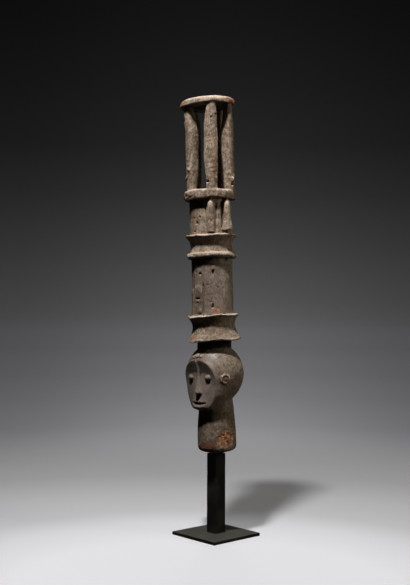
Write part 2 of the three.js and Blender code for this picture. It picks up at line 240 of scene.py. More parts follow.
@dataclass
class Skin:
    """A closed skin: points and the faces over them."""

    points: np.ndarray
    faces: list[np.ndarray]

    @staticmethod
    def over(rows: np.ndarray) -> "Skin":
        """Closes a grid of points, one row a ring, with a fan at each end.

        Args:
            rows: Points as (rows, columns, 3), each row running the same way round.

        Returns:
            The closed skin, facing out.
        """
        count, around = rows.shape[:2]
        index = np.arange(count * around).reshape(count, around)
        following = np.roll(index, -1, axis=1)
        quads = np.stack([index[:-1], following[:-1], following[1:], index[1:]], axis=-1).reshape(-1, 4)
        low = np.full(around, count * around)
        fans = np.concatenate([
            np.stack([low, following[0], index[0]], axis=-1),
            np.stack([low + 1, index[-1], following[-1]], axis=-1),
        ])
        ends = np.stack([rows[0].mean(axis=0), rows[-1].mean(axis=0)])
        return Skin(np.vstack([rows.reshape(-1, 3), ends]), [quads, fans])


def make_mesh(name: str, skins: list[Skin]) -> bpy.types.Mesh:
    """Puts closed skins into one mesh.

    Args:
        name: The mesh's name.
        skins: The skins, in any units.

    Returns:
        The mesh.
    """
    points, corners, sizes, base = [], [], [], 0
    for skin in skins:
        points.append(skin.points)
        for faces in skin.faces:
            corners.append((faces + base).ravel())
            sizes.append(np.full(len(faces), faces.shape[1]))
        base += len(skin.points)
    vertices, loops, counts = np.vstack(points), np.concatenate(corners), np.concatenate(sizes)
    mesh = bpy.data.meshes.new(name)
    mesh.vertices.add(len(vertices))
    mesh.vertices.foreach_set("co", vertices.astype(np.float32).ravel())
    mesh.loops.add(len(loops))
    mesh.loops.foreach_set("vertex_index", loops.astype(np.int32))
    mesh.polygons.add(len(counts))
    mesh.polygons.foreach_set("loop_start", (np.cumsum(counts) - counts).astype(np.int32))
    mesh.update(calc_edges=True)
    mesh.validate()
    return mesh


def read_points(mesh: bpy.types.Mesh) -> np.ndarray:
    """Reads a mesh's vertices as one array.

    Args:
        mesh: The mesh.

    Returns:
        Positions, one vertex a row.
    """
    points = np.zeros(len(mesh.vertices) * 3, np.float32)
    mesh.vertices.foreach_get("co", points)
    return points.reshape(-1, 3).astype(float)


def read_normals(mesh: bpy.types.Mesh) -> np.ndarray:
    """Reads a mesh's vertex normals as one array.

    Args:
        mesh: The mesh.

    Returns:
        Unit normals, one vertex a row.
    """
    normals = np.zeros(len(mesh.vertices) * 3, np.float32)
    mesh.vertex_normals.foreach_get("vector", normals)
    return normals.reshape(-1, 3).astype(float)


def write_points(mesh: bpy.types.Mesh, points: np.ndarray) -> None:
    """Writes one array back into a mesh's vertices."""
    mesh.vertices.foreach_set("co", points.astype(np.float32).ravel())
    mesh.update()


class Neighbours:
    """Averages over each vertex's neighbours along the mesh's edges."""

    def __init__(self, mesh: bpy.types.Mesh) -> None:
        """Reads the edges once.

        Args:
            mesh: The mesh.
        """
        pairs = np.zeros(len(mesh.edges) * 2, np.int32)
        mesh.edges.foreach_get("vertices", pairs)
        self.pairs = pairs.reshape(-1, 2)
        self.count = len(mesh.vertices)
        self.degree = np.maximum(1, np.bincount(pairs, minlength=self.count))

    def mean(self, values: np.ndarray) -> np.ndarray:
        """Gives each vertex the mean of its neighbours' values.

        The sum over the edges that meet there, over their number.

        Args:
            values: A number or a row for each vertex.

        Returns:
            The means, of the same shape.
        """
        flat = values.reshape(self.count, -1)
        first, second = self.pairs.T
        columns = [
            np.bincount(first, flat[second, i], self.count) + np.bincount(second, flat[first, i], self.count)
            for i in range(flat.shape[1])
        ]
        return (np.stack(columns, axis=-1) / self.degree[:, None]).reshape(values.shape)

    def blur(self, values: np.ndarray, times: int) -> np.ndarray:
        """Repeats half a step towards the neighbours' mean."""
        for _ in range(times):
            values = 0.5 * (values + self.mean(values))
        return values


@dataclass(frozen=True)
class Stance:
    """How the carving stands: it leans off the post, and its foot is set back against the lean."""

    lean: float = math.radians(1.86)
    turn: float = math.radians(-42.7)
    set_back: float = 2.2
    seat: float = 159.0

    @property
    def tilt_axis(self) -> Vector:
        """The level axis that the lean turns about."""
        return Vector((math.cos(self.turn), math.sin(self.turn), 0.0))

    @property
    def heading(self) -> np.ndarray:
        """The level direction that the carving leans towards."""
        return np.array([math.sin(self.turn), -math.cos(self.turn), 0.0])

    def stand(self, points: np.ndarray) -> np.ndarray:
        """Leans the points, stands them on the seat, flattens the underside there, in metres.

        Args:
            points: Positions in the carving's frame.

        Returns:
            Positions in the shared frame, in metres.
        """
        turned = points @ np.array(Matrix.Rotation(self.lean, 3, self.tilt_axis)).T
        placed = turned - self.set_back * self.heading + np.array([0.0, 0.0, self.seat])
        placed[:, 2] = np.maximum(placed[:, 2], self.seat)
        return placed * MM

    def tilt(self, points: np.ndarray, level: float, angle: float, share: np.ndarray) -> np.ndarray:
        """Tilts points about a level, further the way the carving leans, by a share of the angle.

        A point sinks by the sine of its angle times its distance out, and moves out by that sine
        times its height over the level.

        Args:
            points: Positions in the carving's frame.
            level: The level that stays.
            angle: The angle, in radians.
            share: The share of the angle at each point.

        Returns:
            The tilted points.
        """
        out = points @ self.heading
        moved = points.copy()
        moved[..., 2] -= share * np.sin(angle) * out
        moved += (share * np.sin(angle) * (points[..., 2] - level))[..., None] * self.heading
        return moved


@dataclass(frozen=True)
class HandCut:
    """The waviness of everything turned round the axis."""

    slow: float = 0.011
    fast: float = 0.006
    rim_from: float = 44.0
    rim_to: float = 49.0

    def swell(self, angle: np.ndarray, level: np.ndarray) -> np.ndarray:
        """The radius factor: a slow wave twice round and a fast one five times round."""
        slow = self.slow * np.sin(2 * angle + level / 61)
        return 1 + slow + self.fast * np.sin(5 * angle - level / 17)

    def lift(self, angle: np.ndarray, level: np.ndarray, radius: np.ndarray) -> np.ndarray:
        """How far a rim rises or falls round its edge, for a wave of one millimetre."""
        rim = smoothstep(self.rim_from, self.rim_to, radius)
        return rim * (np.sin(3 * angle + level / 9) + 0.6 * np.sin(7 * angle))


class MarkKind(Enum):
    """What the tool left."""

    BUMP = "bump"
    HOLE = "hole"
    GROOVE = "groove"
    NOTCH_UP = "notch pointing up"
    NOTCH_DOWN = "notch pointing down"


@dataclass(frozen=True)
class Mark:
    """A small raised or sunk place on the skin, by turn in degrees and level in millimetres."""

    kind: MarkKind
    turn: float
    level: float
    width: float
    rise: float
    depth: float

    def field(self, angle: np.ndarray, level: np.ndarray, radius: float) -> np.ndarray:
        """Works out the mark's height over a grid.

        The distances round the skin and up it are taken in half widths and half heights. A bump
        is half an ellipsoid, a hole a step of their length, a groove a step across times a step
        along, and a notch a groove that narrows to its point.

        Args:
            angle: Angles about the axis.
            level: Levels.
            radius: The skin's radius there, which turns angles into millimetres.

        Returns:
            How far the skin moves outwards.
        """
        across = np.abs(wrapped(angle - math.radians(self.turn)) * radius) / self.width
        up = (level - self.level) / self.rise
        if self.kind is MarkKind.BUMP:
            return self.depth * np.sqrt(np.clip(1 - across**2 - up**2, 0, 1))
        if self.kind is MarkKind.HOLE:
            return -self.depth * (1 - smoothstep(0.75, 1.2, np.hypot(across, up)))
        if self.kind is MarkKind.GROOVE:
            sides, ends = smoothstep(0.7, 1.15, across), smoothstep(0.8, 1.1, np.abs(up))
        else:
            point = up if self.kind is MarkKind.NOTCH_UP else -up
            taper = np.clip(0.5 - 0.5 * point, 0.02, 1)
            sides, ends = smoothstep(0.7, 1.2, across / taper), smoothstep(0.95, 1.1, np.abs(up))
        return -self.depth * (1 - sides) * (1 - ends)


@dataclass(frozen=True)
class Face:
    """The sunk face plane and its features, placed by shares of its height and width."""

    chin: float = 80.0
    height: float = 103.0
    half_width: float = 42.0
    widest: float = 0.6
    taper_up: float = 2.4
    taper_down: float = 1.85
    chin_depth: float = 45.5
    fall_back: float = 5.5
    cheek_depth: float = 36.5
    cheek: float = 0.52
    jaw_edge: float = 7.5
    brow_edge: float = 11.3
    brow_curve: float = 1.3
    brow_proud: float = 8.0
    brow_band: float = 26.0
    brow_from: tuple[float, float] = (0.5, 0.75)
    eye_share: float = 0.62
    eye_side: float = 23.5
    lid: float = 7.0
    lid_proud: float = 4.6
    lid_rise: float = 4.6
    pupil: float = 2.2
    pupil_depth: float = 6.0
    pupil_drop: float = 3.0
    socket_depth: float = 1.4
    nose_share: float = 0.38
    nose_half: float = 9.0
    nose_proud: float = 5.2
    nose_hollow: float = 3.4
    ridge_top: float = 0.95
    ridge_half: float = 2.9
    ridge_proud: float = 4.2
    mouth_share: float = 0.187
    mouth_half: float = 18.0
    mouth_curve: float = 1.2
    mouth_open: float = 2.5
    lip_proud: float = 2.6
    lip_drop: float = 6.4
    slit_depth: float = 7.5

    def outline(self, share: np.ndarray) -> np.ndarray:
        """Half the egg's width at a share of its height: the root of 1 less the reach to a power.

        Args:
            share: The share of the face's height, 0 at the chin.

        Returns:
            Half widths in millimetres.
        """
        above = (share - self.widest) / (1 - self.widest)
        below = (self.widest - share) / self.widest
        upper, lower = np.clip(above, 0, 1) ** self.taper_up, np.clip(below, 0, 1) ** self.taper_down
        reach = np.where(above > 0, upper, lower)
        return self.half_width * np.sqrt(np.clip(1 - reach, 0, 1))

    def edge(self, share: np.ndarray) -> np.ndarray:
        """How far forward the egg's edge stands: least at the cheek, more to chin and brow.

        A base, plus a power of the share below the cheek, plus one of the share above it.

        Args:
            share: The share of the face's height, 0 at the chin.

        Returns:
            Depths in millimetres.
        """
        down = np.clip((self.cheek - share) / self.cheek, 0, 1)
        up = np.clip((share - self.cheek) / (1 - self.cheek), 0, 1)
        return self.cheek_depth + self.jaw_edge * down**2 + self.brow_edge * up**self.brow_curve

    def depth(self, side: np.ndarray, share: np.ndarray) -> np.ndarray:
        """How far forward the face stands.

        A plane that falls back upwards and bows to its edge, then a cove that leans out to the
        brow, and the features as sums of steps, half ellipsoids and bell curves.

        Args:
            side: The distance from the middle line, in millimetres.
            share: The share of the face's height, 0 at the chin.

        Returns:
            The depth in millimetres.
        """
        half = self.outline(share)
        across = np.clip(np.abs(side) / np.maximum(half, 1e-6), 0, 1)
        middle = self.chin_depth - self.fall_back * share
        edge = self.edge(share)
        plane = middle + (edge - middle) * across**2
        inset = np.minimum(half - np.abs(side), (1 - share) * self.height)
        cove = self.brow_proud * np.clip(1 - inset / self.brow_band, 0, 1)
        brow = np.minimum(cove, np.maximum(0, edge + 0.4 - plane)) * smoothstep(*self.brow_from, share)
        return plane + brow + self.nose(side, share) + self.eyes(side, share) + self.mouth(side, share)

    def nose(self, side: np.ndarray, share: np.ndarray) -> np.ndarray:
        """A median ridge from the brow, spreading into a wedge that is cut off square below.

        A step across its flanks, as high as the ridge and wider and higher downwards, less a
        hollow under its tip.

        Args:
            side: The distance from the middle line, in millimetres.
            share: The share of the face's height, 0 at the chin.

        Returns:
            How far it stands out of the plane.
        """
        along = np.clip((share - self.nose_share) / (self.ridge_top - self.nose_share), 0, 1)
        spread = (1 - along) ** 3.0
        half = self.ridge_half + (self.nose_half - self.ridge_half) * spread
        proud = self.ridge_proud + self.nose_proud * spread
        cut = smoothstep(self.nose_share - 0.018, self.nose_share + 0.006, share)
        flanks, end = smoothstep(0.25, 1.15, np.abs(side) / half), smoothstep(0.97, 1.0, share)
        under = (self.nose_share - share) * self.height
        wide = 7.2 - 0.32 * np.clip(under, 0, 14)
        hollow = self.nose_hollow * np.exp(-((side / wide) ** 4) - ((under - 5.0) / 5.6) ** 4)
        return proud * cut * (1 - flanks) * (1 - end) - hollow

    def eyes(self, side: np.ndarray, share: np.ndarray) -> np.ndarray:
        """A round lump over a drilled hole, in a shallow socket, on each side.

        Half an ellipsoid, less a step for the hole and a bell curve for the socket.

        Args:
            side: The distance from the middle line, in millimetres.
            share: The share of the face's height, 0 at the chin.

        Returns:
            How far they stand out of the plane.
        """
        across = np.abs(side) - self.eye_side
        up = (share - self.eye_share) * self.height
        over = (up - self.lid_rise) / (0.8 * self.lid)
        lump = self.lid_proud * np.clip(1 - (across / self.lid) ** 2 - over**2, 0, 1) ** 0.6
        drilled = np.hypot(across, (up + self.pupil_drop) / 0.9) / self.pupil
        hole = self.pupil_depth * (1 - smoothstep(0.7, 1.15, drilled))
        socket = self.socket_depth * np.exp(-((across / 9) ** 2) - (up / 11) ** 2)
        return lump - hole - socket

    def mouth(self, side: np.ndarray, share: np.ndarray) -> np.ndarray:
        """Two raised lips, the lower one fuller, round a slit with slightly raised corners.

        Two bell curves, less a step on each side of a line that rises with the square of the
        distance from the middle.

        Args:
            side: The distance from the middle line, in millimetres.
            share: The share of the face's height, 0 at the chin.

        Returns:
            How far it stands out of the plane.
        """
        up = (share - self.mouth_share) * self.height
        reach = np.clip(np.abs(side) / self.mouth_half, 0, 1.3)
        line = self.mouth_curve * reach**2
        opening = self.mouth_open * np.sqrt(np.clip(1 - reach**2, 0, 1)) + 0.01
        lips = self.lip_proud * np.exp(-((side / 19) ** 4) - (up / 8.5) ** 2)
        lower = self.lip_proud * np.exp(-((side / 16) ** 4) - ((up + self.lip_drop - line) / 3.2) ** 2)
        edges, corners = smoothstep(0.7, 1.2, np.abs(up - line) / opening), smoothstep(0.9, 1.05, reach)
        return lips + lower - self.slit_depth * (1 - edges) * (1 - corners)


@dataclass(frozen=True)
class Head:
    """The neck, the egg of the head, the jaw and the face cut into it, as radii round the axis."""

    face: Face = field(default_factory=Face)
    level: float = 154.0
    radius: float = 55.0
    rise: float = 60.0
    top: float = 202.0
    stub: float = 32.8
    neck_outline: Line = ((9, 36), (15, 37.5), (40, 37.3), (65, 35.8), (86, 34), (104, 32.5), (116, 31.5))
    fillet: float = 2.5
    jaw_climb: float = 18.0
    jaw_round: float = 11.0
    nape_round: float = 1.5
    knob_radius: float = 46.0
    ear_turn: float = math.radians(68)
    ear_level: float = 146.0
    ear_ring: float = 7.3
    ear_tube: float = 2.8
    ear_stretch: float = 1.06
    ear_boss: float = 3.2
    ear_pit: float = 3.4
    knob: tuple[Mark, ...] = (
        Mark(MarkKind.BUMP, -11, 189.5, 4.5, 4.0, 3.2),
        Mark(MarkKind.BUMP, 0, 192.0, 4.2, 5.0, 4.0),
        Mark(MarkKind.BUMP, 11, 191.0, 5.0, 3.6, 2.6),
        Mark(MarkKind.HOLE, -5, 189.0, 1.8, 1.8, 2.6),
    )

    def neck(self, level: np.ndarray) -> np.ndarray:
        """The neck's radius: a curve that draws in a little from its foot up to the head."""
        outline = curve_through(self.neck_outline)
        return np.interp(level, outline[:, 0], outline[:, 1])

    def egg(self, level: np.ndarray) -> np.ndarray:
        """The head's radius as an ellipsoid."""
        return self.radius * np.sqrt(np.clip(1 - ((level - self.level) / self.rise) ** 2, 0, 1))

    def face_radius(self, angle: np.ndarray, share: np.ndarray) -> np.ndarray:
        """The distance from the axis to the face plane along each ray, found by repeated steps.

        Half of the old radius and half of the face's depth over the cosine, over and over.

        Args:
            angle: Angles about the axis, from -pi to pi.
            share: The share of the face's height, 0 at the chin.

        Returns:
            Radii in millimetres.
        """
        ahead = np.maximum(np.cos(angle), 0.25)
        radius = np.full(angle.shape, 44.0)
        for _ in range(14):
            side = radius * np.sin(angle)
            radius = 0.5 * radius + 0.5 * self.face.depth(side, share) / ahead
        return np.clip(radius, 20, 70)

    def jaw(self, angle: np.ndarray, radius: np.ndarray, level: np.ndarray) -> np.ndarray:
        """Rounds the jaw off below: its underside climbs from the chin to the nape.

        The radius shrinks over the rounding by the root of 1 less the reach to a power.

        Args:
            angle: Angles about the axis, from -pi to pi.
            radius: The radius before it is rounded off.
            level: Levels in millimetres.

        Returns:
            Radii in millimetres.
        """
        back = smoothstep(math.radians(40), math.radians(105), np.abs(angle))
        bottom = self.face.chin + 1.0 + self.jaw_climb * back
        rounding = self.jaw_round * (1 - back) + self.nape_round
        reach = np.clip((bottom + rounding - level) / rounding, 0, 1)
        return radius * np.sqrt(np.clip(1 - reach**2.6, 0, 1))

    def ears(self, angle: np.ndarray, level: np.ndarray) -> np.ndarray:
        """A raised ring on each side, with a small boss and a pit in its middle.

        The ring is half a tube round a circle, the boss and its pit are flat bell curves.

        Args:
            angle: Angles about the axis, from -pi to pi.
            level: Levels in millimetres.

        Returns:
            How far they stand out of the head.
        """
        across = (np.abs(angle) - self.ear_turn) * self.radius
        up = (level - self.ear_level) / self.ear_stretch
        reach = np.hypot(across, up)
        tube = self.ear_tube * (1 + 0.12 * np.sin(2 * np.arctan2(up, across) + 1.1))
        ring = 1.1 * tube * np.sqrt(np.clip(1 - ((reach - self.ear_ring) / tube) ** 2, 0, 1))
        boss = self.ear_boss * np.exp(-((reach / 3.4) ** 4)) - self.ear_pit * np.exp(-((reach / 1.4) ** 4))
        return ring + boss

    def radii(self, angle: np.ndarray, level: np.ndarray) -> np.ndarray:
        """Works out the skin's radius round the neck and head.

        Outside the face the radius eases from the face's edge back to the egg. Inside it, it is
        the face plane's. The jaw is rounded off below and joined to the neck with a fillet.

        Args:
            angle: Angles about the axis, from -pi to pi.
            level: Levels.

        Returns:
            Radii in millimetres.
        """
        share = (level - self.face.chin) / self.face.height
        half, edge = self.face.outline(share), self.face.edge(share)
        rim, rim_angle = np.hypot(half, edge), np.arctan2(half, edge)
        easing = np.radians(62) - np.radians(45) * smoothstep(0.2, 0.75, share)
        away = smoothstep(0, 1, (np.abs(angle) - rim_angle) / easing)
        egg = self.egg(level)
        within = (share > 0) & (share < 1)
        around = np.where(within, rim + (egg - rim) * away, egg)
        plane = self.face_radius(angle, share)
        outside = smoothstep(-0.8, 1.2, np.abs(plane * np.sin(angle)) - half)
        front = within & (np.abs(angle) < math.radians(75))
        skin = np.where(front, plane + (around - plane) * outside, around)
        skin = self.jaw(angle, skin, level)
        knob = sum(mark.field(angle, level, self.knob_radius) for mark in self.knob)
        skin = skin + self.ears(angle, level) + knob
        return smooth_max(skin, self.neck(level), self.fillet)


@dataclass(frozen=True)
class Spool:
    """A waisted drum with a rim below and a lip above."""

    bottom: float
    waist: float
    top: float
    low: float
    neck: float
    high: float
    roll: float
    bead: float
    lip: float

    def profile(self) -> list[np.ndarray]:
        """The outline as radius and level: a half-oval bead, a drawn-in waist, a thin lip.

        The waist is a quadratic curve whose middle lies at the neck's radius.

        Returns:
            The bead, the waist and the lip, each as points.
        """
        turn = np.linspace(-math.pi / 2, math.pi / 2, 11)
        half = self.roll / 2
        across = self.low - self.bead + self.bead * np.cos(turn)
        rim = np.column_stack([across, self.bottom + half + half * np.sin(turn)])
        t = np.linspace(0, 1, 24)[:, None]
        start = np.array([self.low - 0.9 * self.bead, self.bottom + self.roll])
        middle = np.array([2 * self.neck - (self.low + self.high) / 2, self.waist])
        end = np.array([self.high - 1.2, self.top - self.lip])
        waist = (1 - t) ** 2 * start + 2 * t * (1 - t) * middle + t**2 * end
        lip = np.array([
            [self.high, self.top - 0.6 * self.lip],
            [self.high - 0.4, self.top - 0.8],
            [self.high - 2.5, self.top],
        ])
        return [rim, waist, lip]


@dataclass(frozen=True)
class Ring:
    """A flat round plate with a rounded edge."""

    bottom: float
    top: float
    radius: float
    below: float
    above: float

    def profile(self) -> np.ndarray:
        """The outline of its edge as radius and level: a quarter round below and one above.

        Returns:
            Points from the lower face to the upper one.
        """
        turn = np.linspace(0, math.pi / 2, 8)
        out, rise = 1 - np.sin(turn), 1 - np.cos(turn)
        low = np.column_stack([self.radius - self.below * out, self.bottom + self.below * rise])
        high = np.column_stack([self.radius - self.above * out, self.top - self.above * rise])
        return np.vstack([low, high[::-1]])


@dataclass(frozen=True)
class Strip:
    """A band standing proud of the drum, rounded off at its top and sides."""

    low_turn: float
    high_turn: float
    top: float
    proud: float
    foot: float = 240.0

    def field(self, angle: np.ndarray, level: np.ndarray) -> np.ndarray:
        """The height over the drum: a step at each side and at the top, worn lower upwards.

        Args:
            angle: Angles about the axis, from -pi to pi.
            level: Levels in millimetres.

        Returns:
            The height in millimetres.
        """
        middle = math.radians((self.low_turn + self.high_turn) / 2)
        half = math.radians((self.high_turn - self.low_turn) / 2)
        across = np.abs(angle - middle) / half
        up = (level - self.foot) / (self.top - self.foot)
        crown = 1 - smoothstep(0.90, 1.0, up + 0.05 * across**2)
        return self.proud * (1 - smoothstep(0.80, 1.04, across)) * crown


@dataclass(frozen=True)
class Tower:
    """Everything turned round the axis as one skin: neck, head, spools, drum, shaft and ring."""

    head: Head = field(default_factory=Head)
    hand: HandCut = field(default_factory=HandCut)
    stance: Stance = field(default_factory=Stance)
    foot: Line = ((10, -0.8), (18, 2.5), (30, 5.5), (35.2, 8.5), (37, 12), (37.5, 15))
    lower: Spool = Spool(
        bottom=218, waist=250, top=268, low=50.7, neck=41.6, high=49.5, roll=4.5, bead=1.4, lip=4)
    lower_tilt: float = math.radians(2.5)
    upper: Spool = Spool(
        bottom=377, waist=407, top=423, low=49.0, neck=42.8, high=49.8, roll=11.5, bead=5.6, lip=4)
    spool_wave: float = 1.0
    drum_low: float = 39.5
    drum_high: float = 40.3
    shaft: float = 40.5
    ring: Ring = Ring(bottom=491.5, top=509.5, radius=51.0, below=3.5, above=5.5)
    ring_wave: float = 0.8
    strips: tuple[Strip, ...] = (Strip(-15, 19.5, 328, 2.8), Strip(-40, -17, 322, 2.0))
    columns: int = 300
    step: float = 1.0
    marks: tuple[Mark, ...] = (
        Mark(MarkKind.GROOVE, 4, 300, 5.0, 1.7, 5.0),
        Mark(MarkKind.HOLE, 2, 292, 1.9, 1.9, 5.0),
        Mark(MarkKind.HOLE, 12, 348, 2.9, 2.4, 5.0),
        Mark(MarkKind.HOLE, 42, 293, 1.3, 1.3, 2.5),
        Mark(MarkKind.NOTCH_DOWN, 50, 347, 3.0, 6.5, 5.5),
        Mark(MarkKind.NOTCH_UP, 47, 287, 3.2, 5.0, 5.5),
        Mark(MarkKind.NOTCH_DOWN, 101, 347, 2.4, 5.5, 3.0),
        Mark(MarkKind.NOTCH_DOWN, -50, 347, 3.0, 6.5, 5.5),
        Mark(MarkKind.NOTCH_UP, -140, 300, 3.0, 5.0, 4.0),
        Mark(MarkKind.GROOVE, 21.0, 300, 1.5, 30, 3.0),
        Mark(MarkKind.GROOVE, -16, 296, 1.3, 26, 2.4),
        Mark(MarkKind.BUMP, 12, 277, 4.5, 5.0, 1.6),
        Mark(MarkKind.HOLE, 9, 272, 3.4, 2.0, 3.4),
        Mark(MarkKind.HOLE, 8, 445, 2.3, 3.0, 5.0),
        Mark(MarkKind.HOLE, 17, 456, 1.8, 1.8, 3.6),
        Mark(MarkKind.HOLE, -4, 455, 1.9, 1.9, 3.6),
        Mark(MarkKind.HOLE, -1, 429, 3.0, 2.2, 4.0),
        Mark(MarkKind.HOLE, 48, 427.5, 6.5, 3.0, 4.0),
        Mark(MarkKind.GROOVE, 83, 460, 3.6, 28, 4.5),
        Mark(MarkKind.GROOVE, 63, 456, 1.7, 27, 2.8),
        Mark(MarkKind.GROOVE, 34, 462, 1.6, 26, 2.2),
        Mark(MarkKind.HOLE, 92, 429.5, 9.0, 3.6, 4.0),
        Mark(MarkKind.HOLE, -18, 500, 3.0, 3.4, 3.5),
        Mark(MarkKind.HOLE, -28, 494, 2.4, 2.2, 3.5),
        Mark(MarkKind.HOLE, -37, 503, 1.8, 2.0, 3.0),
        Mark(MarkKind.HOLE, 120, 501, 2.0, 1.8, 3.0),
        Mark(MarkKind.HOLE, 214, 499, 2.2, 2.0, 3.0),
    )

    def outline(self) -> np.ndarray:
        """The whole profile from the underside to the ring's top, in even steps.

        Returns:
            Points as radius and level.
        """
        head = self.head
        levels = np.arange(self.foot[-1][1], head.top, self.step * 0.9)
        pieces = [
            np.array([[0.4, -1.5]]),
            curve_through(self.foot),
            np.column_stack([head.neck(levels), levels]),
            np.array([[head.stub, head.top], [head.stub, self.lower.bottom]]),
            *self.lower.profile(),
            np.array([[self.drum_low, self.lower.top], [self.drum_high, self.upper.bottom]]),
            *self.upper.profile(),
            np.array([[self.shaft, self.upper.top], [self.shaft, self.ring.bottom]]),
            self.ring.profile(),
            np.array([[0.4, self.ring.top]]),
        ]
        return even_steps(np.vstack(pieces), self.step)

    def skin(self, grain: Grain) -> Skin:
        """Carries the profile round the axis.

        Each point is at (r sin a, -r cos a, z), with r and z the profile's, moved by the hand's
        waves, the strips and the marks. Noise breaks the rims, and the lower spool is tilted.

        Args:
            grain: The noise that breaks the rims.

        Returns:
            The closed skin.
        """
        outline = self.outline()
        angle = np.linspace(-math.pi, math.pi, self.columns, endpoint=False)[None, :]
        radius = np.repeat(outline[:, :1], self.columns, axis=1)
        level = np.repeat(outline[:, 1:], self.columns, axis=1)
        angle = np.repeat(angle, len(outline), axis=0)
        on_head = (level > self.foot[-1][1]) & (level < self.head.top) & (radius > 25)
        headed = self.head.radii(angle, level)
        over_stub = np.maximum(headed, self.head.stub)
        radius = np.where(on_head, np.where(level > self.head.level, over_stub, headed), radius)
        on_drum = (level > self.lower.top + 0.5) & (level < self.upper.bottom - 0.5)
        strips = sum(strip.field(angle, level) for strip in self.strips)
        radius = radius + np.where(on_drum, strips, 0.0)
        for mark in self.marks:
            radius = radius + np.where(radius > 30, mark.field(angle, level, SKIN_RADIUS), 0.0)
        around = about_axis(RIM_RADIUS, angle, level)
        rim = smoothstep(self.hand.rim_from, self.hand.rim_to, radius) * (level > ABOVE_HEAD)
        broken = grain.layers(around, (11, 11, 7), 3)
        chips = np.clip(Grain(grain.seed + 5).wave(around, (17, 17, 9)) - 0.35, 0, 1)
        radius = radius - rim * (1.0 * np.clip(broken, -0.3, 1) + 4.0 * chips)
        lift = self.hand.lift(angle, level, radius) * (level > ABOVE_HEAD)
        wave = np.where(level > self.upper.top + 20, self.ring_wave, self.spool_wave)
        rough = 1.5 * rim * Grain(grain.seed + 9).layers(around * [1, 1, 0], (9, 9, 9), 3)
        level = level + wave * lift + rough
        radius = radius * self.hand.swell(angle, level)
        points = about_axis(radius, angle, level)
        share = band(level, (208, 220), (268, 290))
        return Skin.over(self.stance.tilt(points, self.lower.waist, self.lower_tilt, share))


@dataclass(frozen=True)
class Relief:
    """A small turned post that stands half out of the shaft."""

    turn: float
    profile: Line
    set_out: float = 42.0
    marks: tuple[Mark, ...] = ()
    columns: int = 44
    step: float = 0.9
    mark_radius: float = 6.0

    def skin(self) -> Skin:
        """Carries a smoothed profile round the post's own axis, then moves it to the shaft.

        Returns:
            The closed skin.
        """
        outline = even_steps(curve_through(self.profile, 6), self.step)
        outline[:, 0] = np.maximum(outline[:, 0], 0.3)
        angle = np.linspace(-math.pi, math.pi, self.columns, endpoint=False)[None, :]
        radius, level = outline[:, :1], outline[:, 1:]
        marks = (mark.field(angle, level, self.mark_radius) for mark in self.marks)
        radius = radius + sum(marks, np.zeros(1))
        turn = math.radians(self.turn)
        foot = np.array([self.set_out * math.sin(turn), -self.set_out * math.cos(turn), 0])
        return Skin.over(about_axis(radius, angle + turn, level) + foot)


# The small posts' outlines, as radius and level.
PESTLE = (
    (0.3, 427), (6.0, 427.6), (6.6, 431), (6.9, 444), (6.8, 455), (6.0, 462), (5.9, 472), (5.7, 479),
    (4.8, 484), (2.8, 487), (2.6, 494),
)
BELL = (
    (0.3, 430), (9.2, 430.4), (10.3, 433.5), (9.8, 439), (8.0, 449), (6.8, 460), (6.2, 472), (5.7, 480),
    (4.6, 484.5), (3.0, 488), (2.6, 494),
)


class PostShape(Enum):
    """How full a cage post is at shares of its height."""

    SHOULDERED = (
        (0, 0.66), (0.13, 0.82), (0.3, 0.92), (0.5, 1), (0.72, 0.98), (0.84, 0.9), (0.93, 0.68), (1, 0.42),
    )
    POINTED = (
        (0, 0.76), (0.15, 0.82), (0.3, 0.93), (0.5, 1), (0.72, 0.97), (0.84, 0.86), (0.93, 0.68), (1, 0.46),
    )
    NECKED = (
        (0, 0.88), (0.15, 0.9), (0.35, 0.97), (0.55, 1), (0.67, 0.97), (0.78, 0.82), (0.87, 0.64), (1, 0.58),
    )


@dataclass(frozen=True)
class CagePost:
    """One of the five weathered posts between the ring and the disc."""

    turn: float
    outer: float
    depth: float
    shape: PostShape
    seed: int
    bottom: float = 509.5
    top: float = 674.5
    width: float = 31.0
    square: float = 2.6
    slant: float = 0.0
    flare: float = 0.0
    marks: tuple[Mark, ...] = ()
    columns: int = 68
    step: float = 1.1
    sink: float = 4.0
    mark_radius: float = 10.0

    def skin(self) -> Skin:
        """Stacks rounded sections that follow the log's curve.

        A section is a superellipse: its side and its depth are the cosine and sine, each to the
        power 2 over square. Its size follows the post's shape, noise wears it, and its head is
        drawn to one side by the slant and outwards by the flare.

        Returns:
            The closed skin.
        """
        level = np.arange(self.bottom - self.sink, self.top + self.sink, self.step)[:, None]
        height = self.top - self.bottom
        up = np.clip((level - self.bottom) / height, 0, 1)
        shape = curve_through(self.shape.value, 10)
        full = np.interp(up, shape[:, 0], shape[:, 1])
        angle = (np.arange(self.columns) + 0.5)[None, :] * 2 * math.pi / self.columns
        cosine, sine = np.cos(angle), np.sin(angle)
        half_depth = self.depth * (0.1 + 0.4 * full)
        side = self.width / 2 * full * np.sign(cosine) * np.abs(cosine) ** (2 / self.square)
        out = half_depth * np.sign(sine) * np.abs(sine) ** (2 / self.square)
        grain = Grain(self.seed)
        wander = grain.layers(grid(0.0, 0.0, level), 38, 2)
        worn = 1 + 0.09 * grain.layers(grid(side, out, level), (9, 9, 26), 3)
        flat = side / self.mark_radius
        marks = (mark.field(flat, up * height, self.mark_radius) for mark in self.marks)
        knots = sum(marks, np.zeros(1))
        radius = self.outer - half_depth + out * worn + np.where(sine > 0, knots, 0.0) + 0.8 * wander
        radius = radius + self.flare * smoothstep(0.7, 0.98, up)
        drawn = self.slant * smoothstep(0.62, 0.95, up)
        turn = math.radians(self.turn) - (side * worn + 1.2 * wander - drawn) / self.outer
        return Skin.over(about_axis(radius, turn, level))


